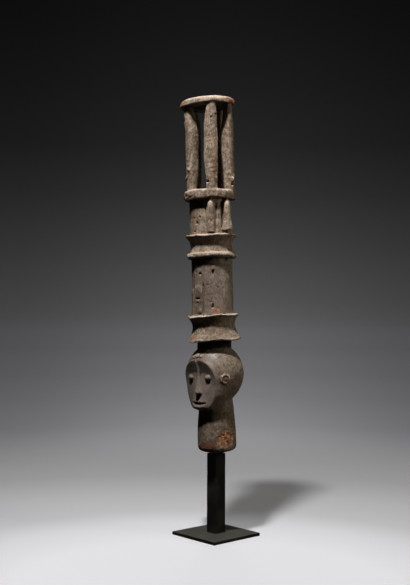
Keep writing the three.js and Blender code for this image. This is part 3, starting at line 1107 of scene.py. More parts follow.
@dataclass(frozen=True)
class TopDisc:
    """The disc that closes the cage, tilted a little more than the carving leans."""

    plate: Ring = Ring(bottom=674.5, top=687.0, radius=53.5, below=1.8, above=8.0)
    tilt: float = math.radians(2.4)
    wave: float = 0.4
    hand: HandCut = field(default_factory=HandCut)
    stance: Stance = field(default_factory=Stance)
    columns: int = 300

    def skin(self, grain: Grain) -> Skin:
        """Carries the edge's profile round the axis, breaks it with noise, and tilts it.

        Args:
            grain: The noise that breaks the edge.

        Returns:
            The closed skin.
        """
        flat = np.vstack([[[0.4, self.plate.bottom]], self.plate.profile(), [[0.4, self.plate.top]]])
        outline = even_steps(flat, 1.1)
        angle = np.linspace(-math.pi, math.pi, self.columns, endpoint=False)[None, :]
        radius, level = outline[:, :1] + 0 * angle, outline[:, 1:] + 0 * angle
        around = about_axis(RIM_RADIUS, angle, level)
        rim = smoothstep(self.hand.rim_from, self.hand.rim_to, radius)
        broken = np.clip(grain.layers(around, (9, 9, 6), 3), -0.3, 1)
        chips = np.clip(Grain(grain.seed + 3).wave(around, (19, 19, 8)) - 0.4, 0, 1)
        radius = radius - rim * (0.8 * broken + 3.0 * chips)
        level = level + self.wave * self.hand.lift(angle, level, radius)
        radius = radius * self.hand.swell(angle, level)
        points = about_axis(radius, angle, level)
        middle = (self.plate.bottom + self.plate.top) / 2
        return Skin.over(self.stance.tilt(points, middle, self.tilt, np.ones(radius.shape)))


@dataclass(frozen=True)
class Patch:
    """A place where the patina is worn or gone, by turn in degrees and level."""

    turn: float
    level: float
    half_turn: float
    half_rise: float
    strength: float
    gouged: bool = False

    def mask(self, angle: np.ndarray, level: np.ndarray, ragged: np.ndarray) -> np.ndarray:
        """One inside an ellipse with a ragged edge, falling to none outside it.

        Args:
            angle: Angles about the axis, from -pi to pi.
            level: Levels in millimetres.
            ragged: Noise that moves the edge in and out.

        Returns:
            The patch's strength at each point.
        """
        across = wrapped(angle - math.radians(self.turn)) / math.radians(self.half_turn)
        reach = np.hypot(across, (level - self.level) / self.half_rise)
        return self.strength * (1 - smoothstep(0.65, 1.15, reach + 0.45 * ragged))


@dataclass(frozen=True)
class Crack:
    """A crack along the grain, by turn in degrees, level, half its length and its depth."""

    turn: float
    level: float
    half: float
    depth: float


@dataclass(frozen=True)
class Weather:
    """What age does to the finished skin: crust, pits, cracks along the grain and lost patina.

    The bared patches show the orange wood, and the worn ones the patina's red ground.
    """

    seed: int = 41
    bared: tuple[Patch, ...] = (
        Patch(77, 31, 30, 18, 1.0, gouged=True),
        Patch(57, 276, 16, 6, 0.65),
        Patch(-12, 226, 13, 6, 0.55),
        Patch(-16, 272, 12, 5, 0.35),
        Patch(124, 680, 16, 9, 0.7),
        Patch(66, 138, 9, 4, 0.6),
        Patch(200, 40, 20, 12, 0.5),
    )
    worn: tuple[Patch, ...] = (
        Patch(14, 17, 36, 9, 1.0),
        Patch(70, 144, 8, 7, 0.45),
        Patch(72, 311, 7, 10, 0.4),
        Patch(4, 455, 24, 20, 0.33),
        Patch(-30, 262, 14, 8, 0.4),
        Patch(-22, 499, 22, 9, 0.5),
        Patch(60, 545, 7, 18, 0.45),
        Patch(62, 596, 4, 18, 0.42),
        Patch(57, 560, 5, 9, 0.4),
        Patch(40, 300, 8, 12, 0.3),
        Patch(60, 112, 22, 9, 0.3),
        Patch(-120, 330, 14, 20, 0.3),
        Patch(-30, 420, 14, 7, 0.45),
        Patch(-22, 681, 16, 9, 0.6),
        Patch(112, 681, 22, 8, 0.55),
        Patch(50, 493, 60, 3, 0.35),
        Patch(20, 379, 44, 3, 0.35),
        Patch(10, 425, 75, 4, 0.42),
        Patch(100, 421, 14, 5, 0.35),
    )
    cracks: tuple[Crack, ...] = (
        Crack(66, 300, 40, 0.5),
        Crack(-62, 330, 70, 1.6),
        Crack(108, 452, 30, 1.2),
        Crack(150, 60, 44, 1.8),
        Crack(175, 320, 50, 1.6),
        Crack(-150, 455, 30, 1.4),
        Crack(28, 60, 24, 1.0),
        Crack(-105, 150, 36, 1.6),
        Crack(118, 165, 22, 1.0),
        Crack(205, 245, 20, 1.5),
    )

    def wear(self, points: np.ndarray, normals: np.ndarray, convex: np.ndarray) -> np.ndarray:
        """Moves each point along its normal.

        Waves follow the cuts and the vertical grain, crust stands up in small lumps, pits are
        sunk round scattered points, and cracks are thin sunk lines down the grain.

        Args:
            points: Positions in the carving's frame.
            normals: Vertex normals.
            convex: How far each point stands out of its surroundings.

        Returns:
            The moved points.
        """
        calm = 1 - 0.75 * self.face_share(points)
        cuts = 0.38 * Grain(self.seed).layers(points, (13, 13, 19), 2)
        fibre = 0.14 * Grain(self.seed + 1).layers(points, (3.2, 3.2, 22), 2)
        crust = 0.50 * np.clip(Grain(self.seed + 2).layers(points, 4.4, 2) - 0.05, 0, 1)
        near, value = Grain(self.seed + 3).nearest(points, (7.5, 7.5, 8.5))
        pits = -1.5 * (1 - smoothstep(0.09, 0.2, near)) * (value > 0.35) * (points[:, 2] > ABOVE_HEAD)
        rims = 0.55 * smoothstep(0.25, 1.2, convex) * Grain(self.seed + 4).layers(points, 5.0, 2)
        relief = calm * (cuts + fibre + crust + pits + rims)
        total = relief + self.gouges(points) + calm * self.split(points)
        return points + normals * total[:, None]

    def face_share(self, points: np.ndarray) -> np.ndarray:
        """One on the smoothed face and none elsewhere.

        Args:
            points: Positions in the carving's frame.

        Returns:
            A share for each point.
        """
        level = points[:, 2]
        front = 1 - smoothstep(0.75, 1.0, np.abs(turn_of(points)))
        return front * smoothstep(84, 92, level) * (1 - smoothstep(182, 192, level))

    def gouges(self, points: np.ndarray) -> np.ndarray:
        """Scalloped hollows side by side inside the gouged patch.

        The mask times a depth that grows towards scattered points.

        Args:
            points: Positions in the carving's frame.

        Returns:
            How far each point moves, down being negative.
        """
        total = np.zeros(len(points))
        for patch in self.bared:
            if patch.gouged:
                mask = patch.mask(turn_of(points), points[:, 2], np.zeros(len(points)))
                near, _ = Grain(self.seed + 6).nearest(points, (9, 9, 5.5))
                total -= mask * (0.5 + 1.3 * (1 - smoothstep(0.1, 0.6, near)))
        return total

    def split(self, points: np.ndarray) -> np.ndarray:
        """Sinks the cracks, where the angle is near a line that wanders with level.

        Args:
            points: Positions in the carving's frame.

        Returns:
            How far each point moves, down being negative.
        """
        level = points[:, 2]
        total = np.zeros(len(points))
        for number, crack in enumerate(self.cracks):
            wander = 0.05 * Grain(self.seed + 8).layers(grid(0.0, 13.0 * number, level), (9, 9, 14), 3)
            off = wrapped(turn_of(points) - math.radians(crack.turn) - wander)
            ends = 1 - smoothstep(0.55, 1.0, np.abs(level - crack.level) / crack.half)
            total -= crack.depth * ends * (1 - smoothstep(0.35, 1.1, np.abs(off) * SKIN_RADIUS))
        return total

    def lost(self, points: np.ndarray, patches: tuple[Patch, ...], ragged: np.ndarray) -> np.ndarray:
        """Where patches lie, from 0 to 1: the sum of their masks."""
        return np.clip(sum(patch.mask(turn_of(points), points[:, 2], ragged) for patch in patches), 0, 1)

    def bare(self, points: np.ndarray) -> np.ndarray:
        """Where the bare wood shows, from 0 to 1."""
        return self.lost(points, self.bared, Grain(self.seed + 7).layers(points, 7.0, 3))

    def red(self, points: np.ndarray) -> np.ndarray:
        """Where the patina is worn to its red ground, from 0 to 1."""
        return self.lost(points, self.worn, Grain(self.seed + 9).layers(points, 9.0, 3))


class Sum:
    """A number from a node, on which sums can be written."""

    def __init__(self, tree: "Tree", socket: bpy.types.NodeSocket) -> None:
        """Keeps the tree and the socket."""
        self.tree = tree
        self.socket = socket

    def _math(self, operation: str, first: Any, second: Any) -> "Sum":
        """Adds one Math node."""
        return self.tree.value("ShaderNodeMath", {"operation": operation}, {0: first, 1: second})

    def __add__(self, other: Any) -> "Sum":
        """Adds."""
        return self._math("ADD", self, other)

    def __radd__(self, other: Any) -> "Sum":
        """Adds to a number."""
        return self._math("ADD", other, self)

    def __sub__(self, other: Any) -> "Sum":
        """Subtracts."""
        return self._math("SUBTRACT", self, other)

    def __rsub__(self, other: Any) -> "Sum":
        """Subtracts from a number."""
        return self._math("SUBTRACT", other, self)

    def __mul__(self, other: Any) -> "Sum":
        """Multiplies."""
        return self._math("MULTIPLY", self, other)

    def __rmul__(self, other: Any) -> "Sum":
        """Multiplies a number."""
        return self._math("MULTIPLY", other, self)

    def __truediv__(self, other: Any) -> "Sum":
        """Divides."""
        return self._math("DIVIDE", self, other)

    def __rtruediv__(self, other: Any) -> "Sum":
        """Divides a number."""
        return self._math("DIVIDE", other, self)

    def over(self, low: float, high: float) -> "Sum":
        """Eases from 0 to 1 between two values."""
        sockets = {"Value": self, "From Min": low, "From Max": high}
        return self.tree.value("ShaderNodeMapRange", {"interpolation_type": "SMOOTHSTEP"}, sockets)


class Tree:
    """The nodes of a material or of the world, made one by one and fed as they are made."""

    def __init__(self, owner: Any) -> None:
        """Empties the owner's node tree.

        Args:
            owner: A material or a world.
        """
        owner.use_nodes = True
        self.nodes = owner.node_tree.nodes
        self.links = owner.node_tree.links
        self.nodes.clear()

    def node(self, kind: str, settings: dict[str, Any], sockets: dict[Any, Any]) -> bpy.types.Node:
        """Makes a node, sets it, and then feeds its sockets.

        Args:
            kind: The node's type.
            settings: Its settings. Stops are a colour ramp's, as place and colour.
            sockets: A value, a link or a sum for each input, by name or number.

        Returns:
            The node.
        """
        made = self.nodes.new(kind)
        for name, value in settings.items():
            if name == "stops":
                ramp = made.color_ramp.elements
                while len(ramp) < len(value):
                    ramp.new(1.0)
                for element, (place, colour) in zip(ramp, value):
                    element.position = place
                    element.color = (*colour, 1.0)
            else:
                setattr(made, name, value)
        for key, value in sockets.items():
            if isinstance(value, Sum):
                self.links.new(value.socket, made.inputs[key])
            elif isinstance(value, bpy.types.NodeSocket):
                self.links.new(value, made.inputs[key])
            else:
                made.inputs[key].default_value = value
        return made

    def value(self, kind: str, settings: dict[str, Any], sockets: dict[Any, Any], output: Any = 0) -> Sum:
        """Makes a node and gives one of its outputs as a number."""
        return Sum(self, self.node(kind, settings, sockets).outputs[output])

    def place(self) -> bpy.types.NodeSocket:
        """The Object coordinates."""
        return self.node("ShaderNodeTexCoord", {}, {}).outputs["Object"]

    def stretched(self, place: bpy.types.NodeSocket, scale: Place) -> bpy.types.NodeSocket:
        """Coordinates scaled differently along each axis."""
        return self.node("ShaderNodeMapping", {}, {"Vector": place, "Scale": scale}).outputs["Vector"]

    def noise(self, place: bpy.types.NodeSocket, scale: float, detail: float, rough: float = 0.55) -> Sum:
        """Fractal noise from 0 to 1."""
        sockets = {"Vector": place, "Scale": scale, "Detail": detail, "Roughness": rough}
        return self.value("ShaderNodeTexNoise", {}, sockets)

    def attribute(self, name: str) -> Sum:
        """A vertex attribute of the piece."""
        return self.value("ShaderNodeAttribute", {"attribute_name": name}, {}, "Fac")

    def mix(self, share: Any, first: Any, second: Any) -> bpy.types.NodeSocket:
        """Mixes two colours by a share.

        Args:
            share: The second colour's share.
            first: A colour or a link.
            second: A colour or a link.

        Returns:
            The mixed colour.
        """
        colours = [c if isinstance(c, bpy.types.NodeSocket) else (*c, 1.0) for c in (first, second)]
        sockets = {0: share, 6: colours[0], 7: colours[1]}
        return self.node("ShaderNodeMix", {"data_type": "RGBA"}, sockets).outputs[2]

    def bump(self, height: Sum, distance: float, strength: float) -> bpy.types.NodeSocket:
        """A normal from a height."""
        sockets = {"Height": height, "Distance": distance, "Strength": strength}
        return self.node("ShaderNodeBump", {}, sockets).outputs["Normal"]

    def surface(self, shader: bpy.types.NodeSocket) -> None:
        """Feeds the output."""
        self.node("ShaderNodeOutputMaterial", {}, {"Surface": shader})


@dataclass(frozen=True)
class OldWood:
    """Dry encrusted patina over orange wood, dusty on every edge, and every hollow blackened with painted
    shade.
    """

    name: str = "old_wood"
    brown: Colour = (0.235, 0.158, 0.105)
    ash: Colour = (0.470, 0.385, 0.300)
    dark: Colour = (0.090, 0.055, 0.034)
    pale: Colour = (0.640, 0.500, 0.360)
    dust: Colour = (0.690, 0.560, 0.465)
    orange: Colour = (0.74, 0.36, 0.18)
    red: Colour = (0.240, 0.086, 0.038)
    # Soot colours the dark specks, and the painted shade in hollows too.
    soot_and_shade: Colour = (0.012, 0.008, 0.006)
    handled: Colour = (0.275, 0.224, 0.205)

    def make(self) -> bpy.types.Material:
        """Builds the material: patina by noise and grain, then dust, bare wood, red wear, and tone and
        painted shade by attribute.

        Returns:
            The material.
        """
        material = bpy.data.materials.new(self.name)
        tree = Tree(material)
        place = tree.place()
        broad = tree.noise(place, 34.0, 3.0)
        blotch = tree.noise(place, 95.0, 4.0, 0.6)
        lumps = tree.noise(tree.stretched(place, (1.0, 1.0, 0.85)), 240.0, 3.0, 0.55)
        speckle = tree.noise(place, 520.0, 3.0, 0.6)
        fibres = tree.noise(tree.stretched(place, (1.0, 1.0, 0.14)), 250.0, 3.0, 0.55)
        rough = tree.attribute("rough")
        shade = broad * 0.28 + blotch * 0.38 + lumps * 0.29 + fibres * 0.05
        patina = tree.mix(shade.over(0.41, 0.59), self.brown, self.ash)
        patina = tree.mix(tree.attribute("handled") * 0.7, patina, self.handled)
        # Tone darkens towards dark brown: real tone, and painted shade on the forehead, the face's left cheek
        # and the cage's inside.
        patina = tree.mix(tree.attribute("tone"), patina, self.dark)
        patina = tree.mix(fibres.over(0.55, 0.70) * rough * 0.35, patina, self.dark)
        patina = tree.mix(lumps.over(0.53, 0.66) * rough * 0.40, patina, self.pale)
        patina = tree.mix(lumps.over(0.46, 0.34) * rough * 0.45, patina, self.dark)
        patina = tree.mix(speckle.over(0.58, 0.72) * rough * 0.40, patina, self.pale)
        dusty = (tree.attribute("dust") * (0.1 + lumps * 0.9 + blotch * 0.9)).over(0.12, 0.92)
        patina = tree.mix(dusty, patina, self.dust)
        bare_wood = tree.mix((fibres * 0.5 + blotch * 0.5).over(0.38, 0.60), self.orange, self.red)
        bare = (tree.attribute("bare") * (0.6 + lumps * 0.8)).over(0.15, 0.9)
        patina = tree.mix(bare * 0.92, patina, bare_wood)
        patina = tree.mix(tree.attribute("red").over(0.1, 0.9) * 0.85, patina, self.red)
        patina = tree.mix(speckle.over(0.45, 0.33) * (0.15 + rough * 0.55), patina, self.soot_and_shade)
        # Painted shade: hollows, creases, the stub under the lower spool and the cage's inside turn nearly
        # black.
        patina = tree.mix(tree.attribute("hollow").over(0.05, 0.9), patina, self.soot_and_shade)
        height = (fibres * 0.25 + lumps * 0.9 + speckle * 0.35) * (0.2 + rough * 0.8)
        gloss = 0.88 - tree.attribute("polish") * 0.42 + (lumps - 0.5) * 0.15
        shader = tree.node("ShaderNodeBsdfPrincipled", {}, {
            "Base Color": patina,
            "Roughness": gloss,
            "Specular IOR Level": 0.3,
            "Coat Weight": tree.attribute("polish") * 0.3,
            "Coat Roughness": 0.42,
            "Normal": tree.bump(height, 0.0018, 0.9),
        })
        tree.surface(shader.outputs["BSDF"])
        return material


@dataclass(frozen=True)
class BlackBronze:
    """Nearly black waxed metal with an olive-brown bloom, streaks down its sides, and a paler top that is
    partly dust and partly a painted reflection.
    """

    name: str = "stand_metal"
    black: Colour = (0.0105, 0.0098, 0.0085)
    bloom: Colour = (0.040, 0.033, 0.024)
    dust: Colour = (0.088, 0.085, 0.074)

    def make(self) -> bpy.types.Material:
        """Builds the material: a cloudy bloom, streaks, small scuffs, and a paler colour where it faces up,
        partly dust and partly a painted reflection.

        Returns:
            The material.
        """
        material = bpy.data.materials.new(self.name)
        tree = Tree(material)
        coordinates = tree.node("ShaderNodeTexCoord", {}, {})
        place = coordinates.outputs["Object"]
        facing = tree.value("ShaderNodeSeparateXYZ", {}, {"Vector": coordinates.outputs["Normal"]}, "Z")
        cloud = tree.noise(place, 26.0, 4.0)
        streak = tree.noise(tree.stretched(place, (1.0, 1.0, 0.05)), 500.0, 3.0)
        scuff = tree.noise(place, 700.0, 3.0)
        colour = tree.mix(cloud.over(0.40, 0.68), self.black, self.bloom)
        colour = tree.mix(streak.over(0.55, 0.75) * 0.4, colour, self.black)
        # Where it faces up it turns paler: dust, and a painted reflection.
        colour = tree.mix(facing.over(0.5, 0.95) * (0.55 + cloud * 0.6), colour, self.dust)
        height = streak * 0.5 + scuff * 0.4
        shader = tree.node("ShaderNodeBsdfPrincipled", {}, {
            "Base Color": colour,
            "Specular IOR Level": 0.2,
            "Roughness": 0.36 + cloud * 0.12 + scuff * 0.06,
            "Normal": tree.bump(height, 0.0002, 0.2),
        })
        tree.surface(shader.outputs["BSDF"])
        return material


@dataclass(frozen=True)
class LightStrip:
    """The strip of light painted across the floor and the backdrop, darker to both sides.

    Its middle line is fixed at about the way that the camera looks, and it widens outwards from
    the middle. The share off it is the distance from its middle line, over the distance along it
    and its start.
    """

    turn: float = math.radians(47.0)
    start: float = 2.0
    edge: float = 0.25
    loss: float = 0.42

    def distance(self, tree: Tree, place: bpy.types.NodeSocket, axis: Place) -> Sum:
        """The distance from the middle along a level axis, to either side."""
        along = tree.value("ShaderNodeVectorMath", {"operation": "DOT_PRODUCT"}, {0: place, 1: axis}, "Value")
        return tree.value("ShaderNodeMath", {"operation": "ABSOLUTE"}, {0: along})

    def shade(
        self, tree: Tree, place: bpy.types.NodeSocket, colour: bpy.types.NodeSocket
    ) -> bpy.types.NodeSocket:
        """Darkens a colour off the strip.

        Args:
            tree: The material's nodes.
            place: The Object coordinates.
            colour: The colour on the strip.

        Returns:
            The colour times 1 less the loss off the strip.
        """
        cosine, sine = math.cos(self.turn), math.sin(self.turn)
        across = self.distance(tree, place, (cosine, sine, 0.0))
        along = self.distance(tree, place, (-sine, cosine, 0.0))
        kept = 1.0 - (across / (along + self.start)).over(0.0, self.edge) * self.loss
        sockets = {0: colour, "Scale": kept}
        return tree.node("ShaderNodeVectorMath", {"operation": "SCALE"}, sockets).outputs[0]


@dataclass(frozen=True)
class StudioFloor:
    """A pale floor with a pool of light painted on it: palest by the object, greyer round it, a glow far off.

    The stops give the painted pool's tones by metres: the floor's colour and its glow from the pool's middle,
    and the far glow from the object.
    """

    name: str = "floor_paper"
    pool: Place = (0.24, -0.25, 0.0)
    reach: float = 4.0
    stops: Line = (
        (0.0, 0.66), (0.3, 0.68), (0.46, 0.66), (0.59, 0.66), (0.78, 0.62), (1.05, 0.50), (4.0, 0.40),
    )
    glow: Line = (
        (0.0, 0.20), (0.31, 0.22), (0.46, 0.16), (0.58, 0.03), (0.8, 0.02), (4.0, 0.02),
    )
    far_reach: float = 60.0
    far: Line = (
        (0.0, 0.30), (1.25, 0.283), (2.0, 0.238), (3.0, 0.195), (4.8, 0.160), (9.5, 0.133), (30.0, 0.112),
        (60.0, 0.102),
    )
    fade_from: float = 0.7
    fade_to: float = 1.9
    blue: float = 1.05
    strip: LightStrip = LightStrip()

    def make(self) -> bpy.types.Material:
        """Builds the material: near the object a floor lit by the lamps with the pool painted into its colour
        and glow, fading outwards to a glow by distance.

        Returns:
            The material.
        """
        material = bpy.data.materials.new(self.name)
        tree = Tree(material)
        place = tree.place()
        sockets = {0: place, 1: self.pool}
        around = tree.value("ShaderNodeVectorMath", {"operation": "DISTANCE"}, sockets, "Value")
        share = around / self.reach
        near = tree.node("ShaderNodeBsdfPrincipled", {}, {
            "Base Color": self.ramp(tree, share, self.stops, self.reach),
            "Roughness": 0.9,
            "Specular IOR Level": 0.2,
            "Emission Color": self.ramp(tree, share, self.glow, self.reach),
            "Emission Strength": 1.0,
        })
        out = tree.value("ShaderNodeVectorMath", {"operation": "LENGTH"}, {0: place}, "Value")
        distant = self.ramp(tree, out / self.far_reach, self.far, self.far_reach)
        colour = self.strip.shade(tree, place, distant)
        far = tree.node("ShaderNodeEmission", {}, {"Color": colour, "Strength": 1.0})
        fade = out.over(self.fade_from, self.fade_to)
        mixed = tree.node("ShaderNodeMixShader", {}, {0: fade, 1: near.outputs[0], 2: far.outputs[0]})
        tree.surface(mixed.outputs[0])
        return material

    def ramp(self, tree: Tree, share: Sum, stops: Line, reach: float) -> bpy.types.NodeSocket:
        """A near-neutral grey by a share of the reach, from stops in metres."""
        coloured = [(at / reach, (tone, tone, tone * self.blue)) for at, tone in stops]
        return tree.node("ShaderNodeValToRGB", {"stops": coloured}, {"Fac": share}).outputs["Color"]


@dataclass(frozen=True)
class StudioBackdrop:
    """A self-lit grey that darkens with height over the horizon, as sine of the angle and tone."""

    name: str = "backdrop_paper"
    stops: Line = (
        (-0.02, 0.113), (0.0, 0.1115), (0.0077, 0.102), (0.0278, 0.0855), (0.0815, 0.056), (0.1417, 0.031),
        (0.195, 0.0175), (0.2556, 0.0118), (0.318, 0.0078), (0.357, 0.0060), (1.0, 0.0050),
    )
    strip: LightStrip = LightStrip()

    def make(self) -> bpy.types.Material:
        """Builds the material: an emission coloured by the height of the direction from the middle.

        Returns:
            The material.
        """
        material = bpy.data.materials.new(self.name)
        tree = Tree(material)
        place = tree.place()
        unit = tree.node("ShaderNodeVectorMath", {"operation": "NORMALIZE"}, {0: place}).outputs[0]
        height = tree.value("ShaderNodeSeparateXYZ", {}, {"Vector": unit}, "Z")
        low, high = self.stops[0][0], self.stops[-1][0]
        stops = [((at - low) / (high - low), (tone, tone, tone)) for at, tone in self.stops]
        ramp = tree.node("ShaderNodeValToRGB", {"stops": stops}, {"Fac": (height - low) / (high - low)})
        colour = self.strip.shade(tree, place, ramp.outputs["Color"])
        glow = tree.node("ShaderNodeEmission", {}, {"Color": colour, "Strength": 1.0})
        tree.surface(glow.outputs[0])
        return material


@dataclass
class Carving:
    """The whole log as one piece, in place of the solid that stands for it."""

    tower: Tower = field(default_factory=Tower)
    disc: TopDisc = field(default_factory=TopDisc)
    stance: Stance = field(default_factory=Stance)
    weather: Weather = field(default_factory=Weather)
    tower_seed: int = 5
    disc_seed: int = 29
    stain_seed: int = 77
    voxel: float = 1.05
    most_triangles: int = 192000
    reliefs: tuple[Relief, ...] = (
        Relief(48, PESTLE, marks=(
            Mark(MarkKind.HOLE, 0, 450, 5.2, 5.0, 1.8),
            Mark(MarkKind.BUMP, 0, 450, 3.6, 3.6, 3.2),
            Mark(MarkKind.HOLE, 0, 450, 1.8, 1.8, 4.5))),
        Relief(92, BELL, set_out=45.5),
        Relief(180, PESTLE),
        Relief(268, BELL),
    )
    posts: tuple[CagePost, ...] = (
        CagePost(-16, 47.5, 25, PostShape.SHOULDERED, 3, width=31, square=3.1, slant=-3, marks=(
            Mark(MarkKind.HOLE, -22, 147, 1.8, 2.2, 3.0),
            Mark(MarkKind.GROOVE, 40, 138, 6, 2.5, 2.4),
            Mark(MarkKind.BUMP, 20, 26, 4, 4, 2.2),
            Mark(MarkKind.BUMP, -28, 40, 4, 4, 2.0),
            Mark(MarkKind.BUMP, 44, 22, 3.5, 4, 2.4))),
        CagePost(54, 48.5, 23, PostShape.POINTED, 11, width=33, slant=2, flare=3.2, marks=(
            Mark(MarkKind.HOLE, 6, 135, 2.0, 2.0, 2.6),
            Mark(MarkKind.HOLE, -44, 142, 1.9, 1.9, 2.6),
            Mark(MarkKind.BUMP, -10, 52, 4.5, 3.0, 0.5),
            Mark(MarkKind.BUMP, -10, 43, 6, 3.0, 0.6),
            Mark(MarkKind.BUMP, -10, 34, 7, 3.0, 0.6),
            Mark(MarkKind.BUMP, -44, 20, 4, 4, 2.2),
            Mark(MarkKind.HOLE, 52, 14, 3, 3, 6))),
        CagePost(121, 50, 24, PostShape.NECKED, 23, width=31, square=3.4, slant=-5, marks=(
            Mark(MarkKind.BUMP, 50, 20, 4.5, 5, 3.2),
            Mark(MarkKind.BUMP, 14, 26, 4, 4, 1.8),
            Mark(MarkKind.HOLE, 50, 10, 2.6, 2.4, 3.0))),
        CagePost(195, 48.5, 22, PostShape.POINTED, 31, width=36, marks=(
            Mark(MarkKind.BUMP, 10, 30, 5, 5, 2.0),)),
        CagePost(270, 48, 20, PostShape.SHOULDERED, 47, marks=(
            Mark(MarkKind.BUMP, -10, 24, 5, 5, 2.0),)),
    )

    def skins(self) -> list[Skin]:
        """Every form of the log as a closed skin, each running into its neighbours."""
        return [
            self.tower.skin(Grain(self.tower_seed)),
            *(relief.skin() for relief in self.reliefs),
            *(post.skin() for post in self.posts),
            self.disc.skin(Grain(self.disc_seed)),
        ]

    def fuse(self, mesh: bpy.types.Mesh) -> bpy.types.Object:
        """Makes one skin of the forms on a fine voxel grid.

        Args:
            mesh: The forms in one mesh, in millimetres.

        Returns:
            An object with one closed skin.
        """
        piece = bpy.data.objects.new("crest_mask", mesh)
        bpy.context.scene.collection.objects.link(piece)
        fused = piece.modifiers.new("fuse", "REMESH")
        fused.mode = "VOXEL"
        fused.voxel_size = self.voxel
        self.apply(piece)
        return piece

    def apply(self, piece: bpy.types.Object) -> None:
        """Makes the mesh what its modifiers show.

        Args:
            piece: The object whose modifiers are applied.
        """
        shown = piece.evaluated_get(bpy.context.evaluated_depsgraph_get())
        made = bpy.data.meshes.new_from_object(shown)
        piece.modifiers.clear()
        piece.data = made

    def thin(self, piece: bpy.types.Object) -> None:
        """Collapses the flattest edges until the piece is light enough.

        Args:
            piece: The object, changed only where it has too many triangles.
        """
        piece.data.calc_loop_triangles()
        count = len(piece.data.loop_triangles)
        if count > self.most_triangles:
            thinned = piece.modifiers.new("thin", "DECIMATE")
            thinned.ratio = self.most_triangles / count
            self.apply(piece)

    def cage_inside(self, points: np.ndarray, normals: np.ndarray, radius: np.ndarray) -> np.ndarray:
        """Where the cage's inside lies, which is darkened as painted shade.

        Args:
            points: The skin's points.
            normals: Their normals.
            radius: Their distances from the axis.

        Returns:
            One near the axis or where the skin faces it, between the ring and the disc.
        """
        level = points[:, 2]
        to_axis = -(points[:, 0] * normals[:, 0] + points[:, 1] * normals[:, 1]) / np.maximum(radius, 1)
        facing = smoothstep(0.1, 0.6, to_axis) * (1 - smoothstep(36, 46, radius))
        inside = np.maximum(1 - smoothstep(20, 30, radius), facing)
        return inside * (smoothstep(508, 511, level) * (1 - smoothstep(680, 684, level)))

    def note_surface(self, mesh: bpy.types.Mesh) -> None:
        """Writes what the finish reads at each point: dust, painted shade in hollows, bare wood, tone with
        some painted shade, and polish.

        An edge or a hollow is how far a point stands out of its blurred surroundings. The zones
        are steps by level, radius and turn, and each note is a weighted sum of them.

        Args:
            mesh: The finished mesh, still in the carving's frame.
        """
        points, normals = read_points(mesh), read_normals(mesh)
        near = Neighbours(mesh)
        fine = np.einsum("ij,ij->i", points - near.blur(points, 4), normals)
        broad = np.einsum("ij,ij->i", points - near.blur(points, 40), normals)
        level = points[:, 2]
        radius = np.hypot(points[:, 0], points[:, 1])
        turn = np.degrees(turn_of(points))
        above = level > ABOVE_HEAD
        # Zones.
        below = 1 - smoothstep(84, 100, level)
        head = band(level, (84, 95), (198, 206))
        face = self.weather.face_share(points) * smoothstep(0.2, 0.7, -normals[:, 1])
        forehead = smoothstep(156, 172, level)
        # Painted shade: the face's left side is darkened through tone.
        left_cheek_shade = face * smoothstep(4, 24, -points[:, 0])
        # Painted shade: the stub under the lower spool's rim, blackened through hollow.
        stub_shade = band(level, (200, 206), (216, 221)) * (1 - smoothstep(36, 40, radius))
        spools = band(level, (216, 220), (262, 268)) + band(level, (384, 388), (488, 492))
        drum = band(level, (266, 270), (376, 380))
        strip = drum * (1 - smoothstep(28, 31, np.abs(turn + 10))) * (1 - smoothstep(320, 330, level))
        cage = smoothstep(508, 511, level)
        posts = cage * (level < 672)
        # Painted shade: the cage's inside gets darker tone, black hollows and no dust.
        inside = self.cage_inside(points, normals, radius)
        # Edges, ledges, hollows that get painted shade, and stains.
        crisp = smoothstep(0.08, 0.5, near.blur(fine, 1))
        edge = crisp * (0.25 + 0.5 * smoothstep(42, 47, radius)) + smoothstep(0.5, 2.4, broad) * 0.7
        ledge = smoothstep(0.35, 0.9, normals[:, 2]) * smoothstep(26, 34, radius) * above
        # Painted shade in concave places, with less of it on the forehead.
        hollow = smoothstep(0.12, 0.8, -fine) * 0.7 + smoothstep(0.6, 3.2, -broad)
        hollow *= 1 - 0.75 * face * forehead
        grain = Grain(self.stain_seed)
        clouds = 0.16 * grain.layers(points, (34, 34, 60), 2)
        spots = np.clip(grain.layers(points, (8, 8, 7), 3) + 0.03, 0, 0.6)
        mottled = (0.85 * smoothstep(44, 48, radius) + 0.15 * cage) * above * spots
        # Tone: a darker neck, head, posts and drum, and painted shade on the face's left cheek and the
        # forehead.
        tone_and_shade = 0.34 * below + 0.26 * head * (1 - face) + 0.42 * left_cheek_shade + 0.22 * face * forehead
        notes = {
            "dust": edge + 0.55 * ledge - 0.5 * face - 0.35 * drum * (1 - ledge) - inside,
            "hollow": hollow + 0.55 * inside + 0.8 * stub_shade,
            "bare": self.weather.bare(points),
            "red": self.weather.red(points) + mottled,
            "tone": tone_and_shade + 0.12 * posts + 0.08 * drum + 0.26 * strip + clouds + 0.06 + inside,
            "handled": face + 0.5 * drum,
            "polish": head,
            "rough": 0.95 - 0.60 * drum - 0.50 * head - 0.5 * below - 0.2 * face - 0.5 * spools,
        }
        for name, values in notes.items():
            layer = mesh.attributes.new(name, "FLOAT", "POINT")
            layer.data.foreach_set("value", np.clip(values, 0, 1).astype(np.float32))

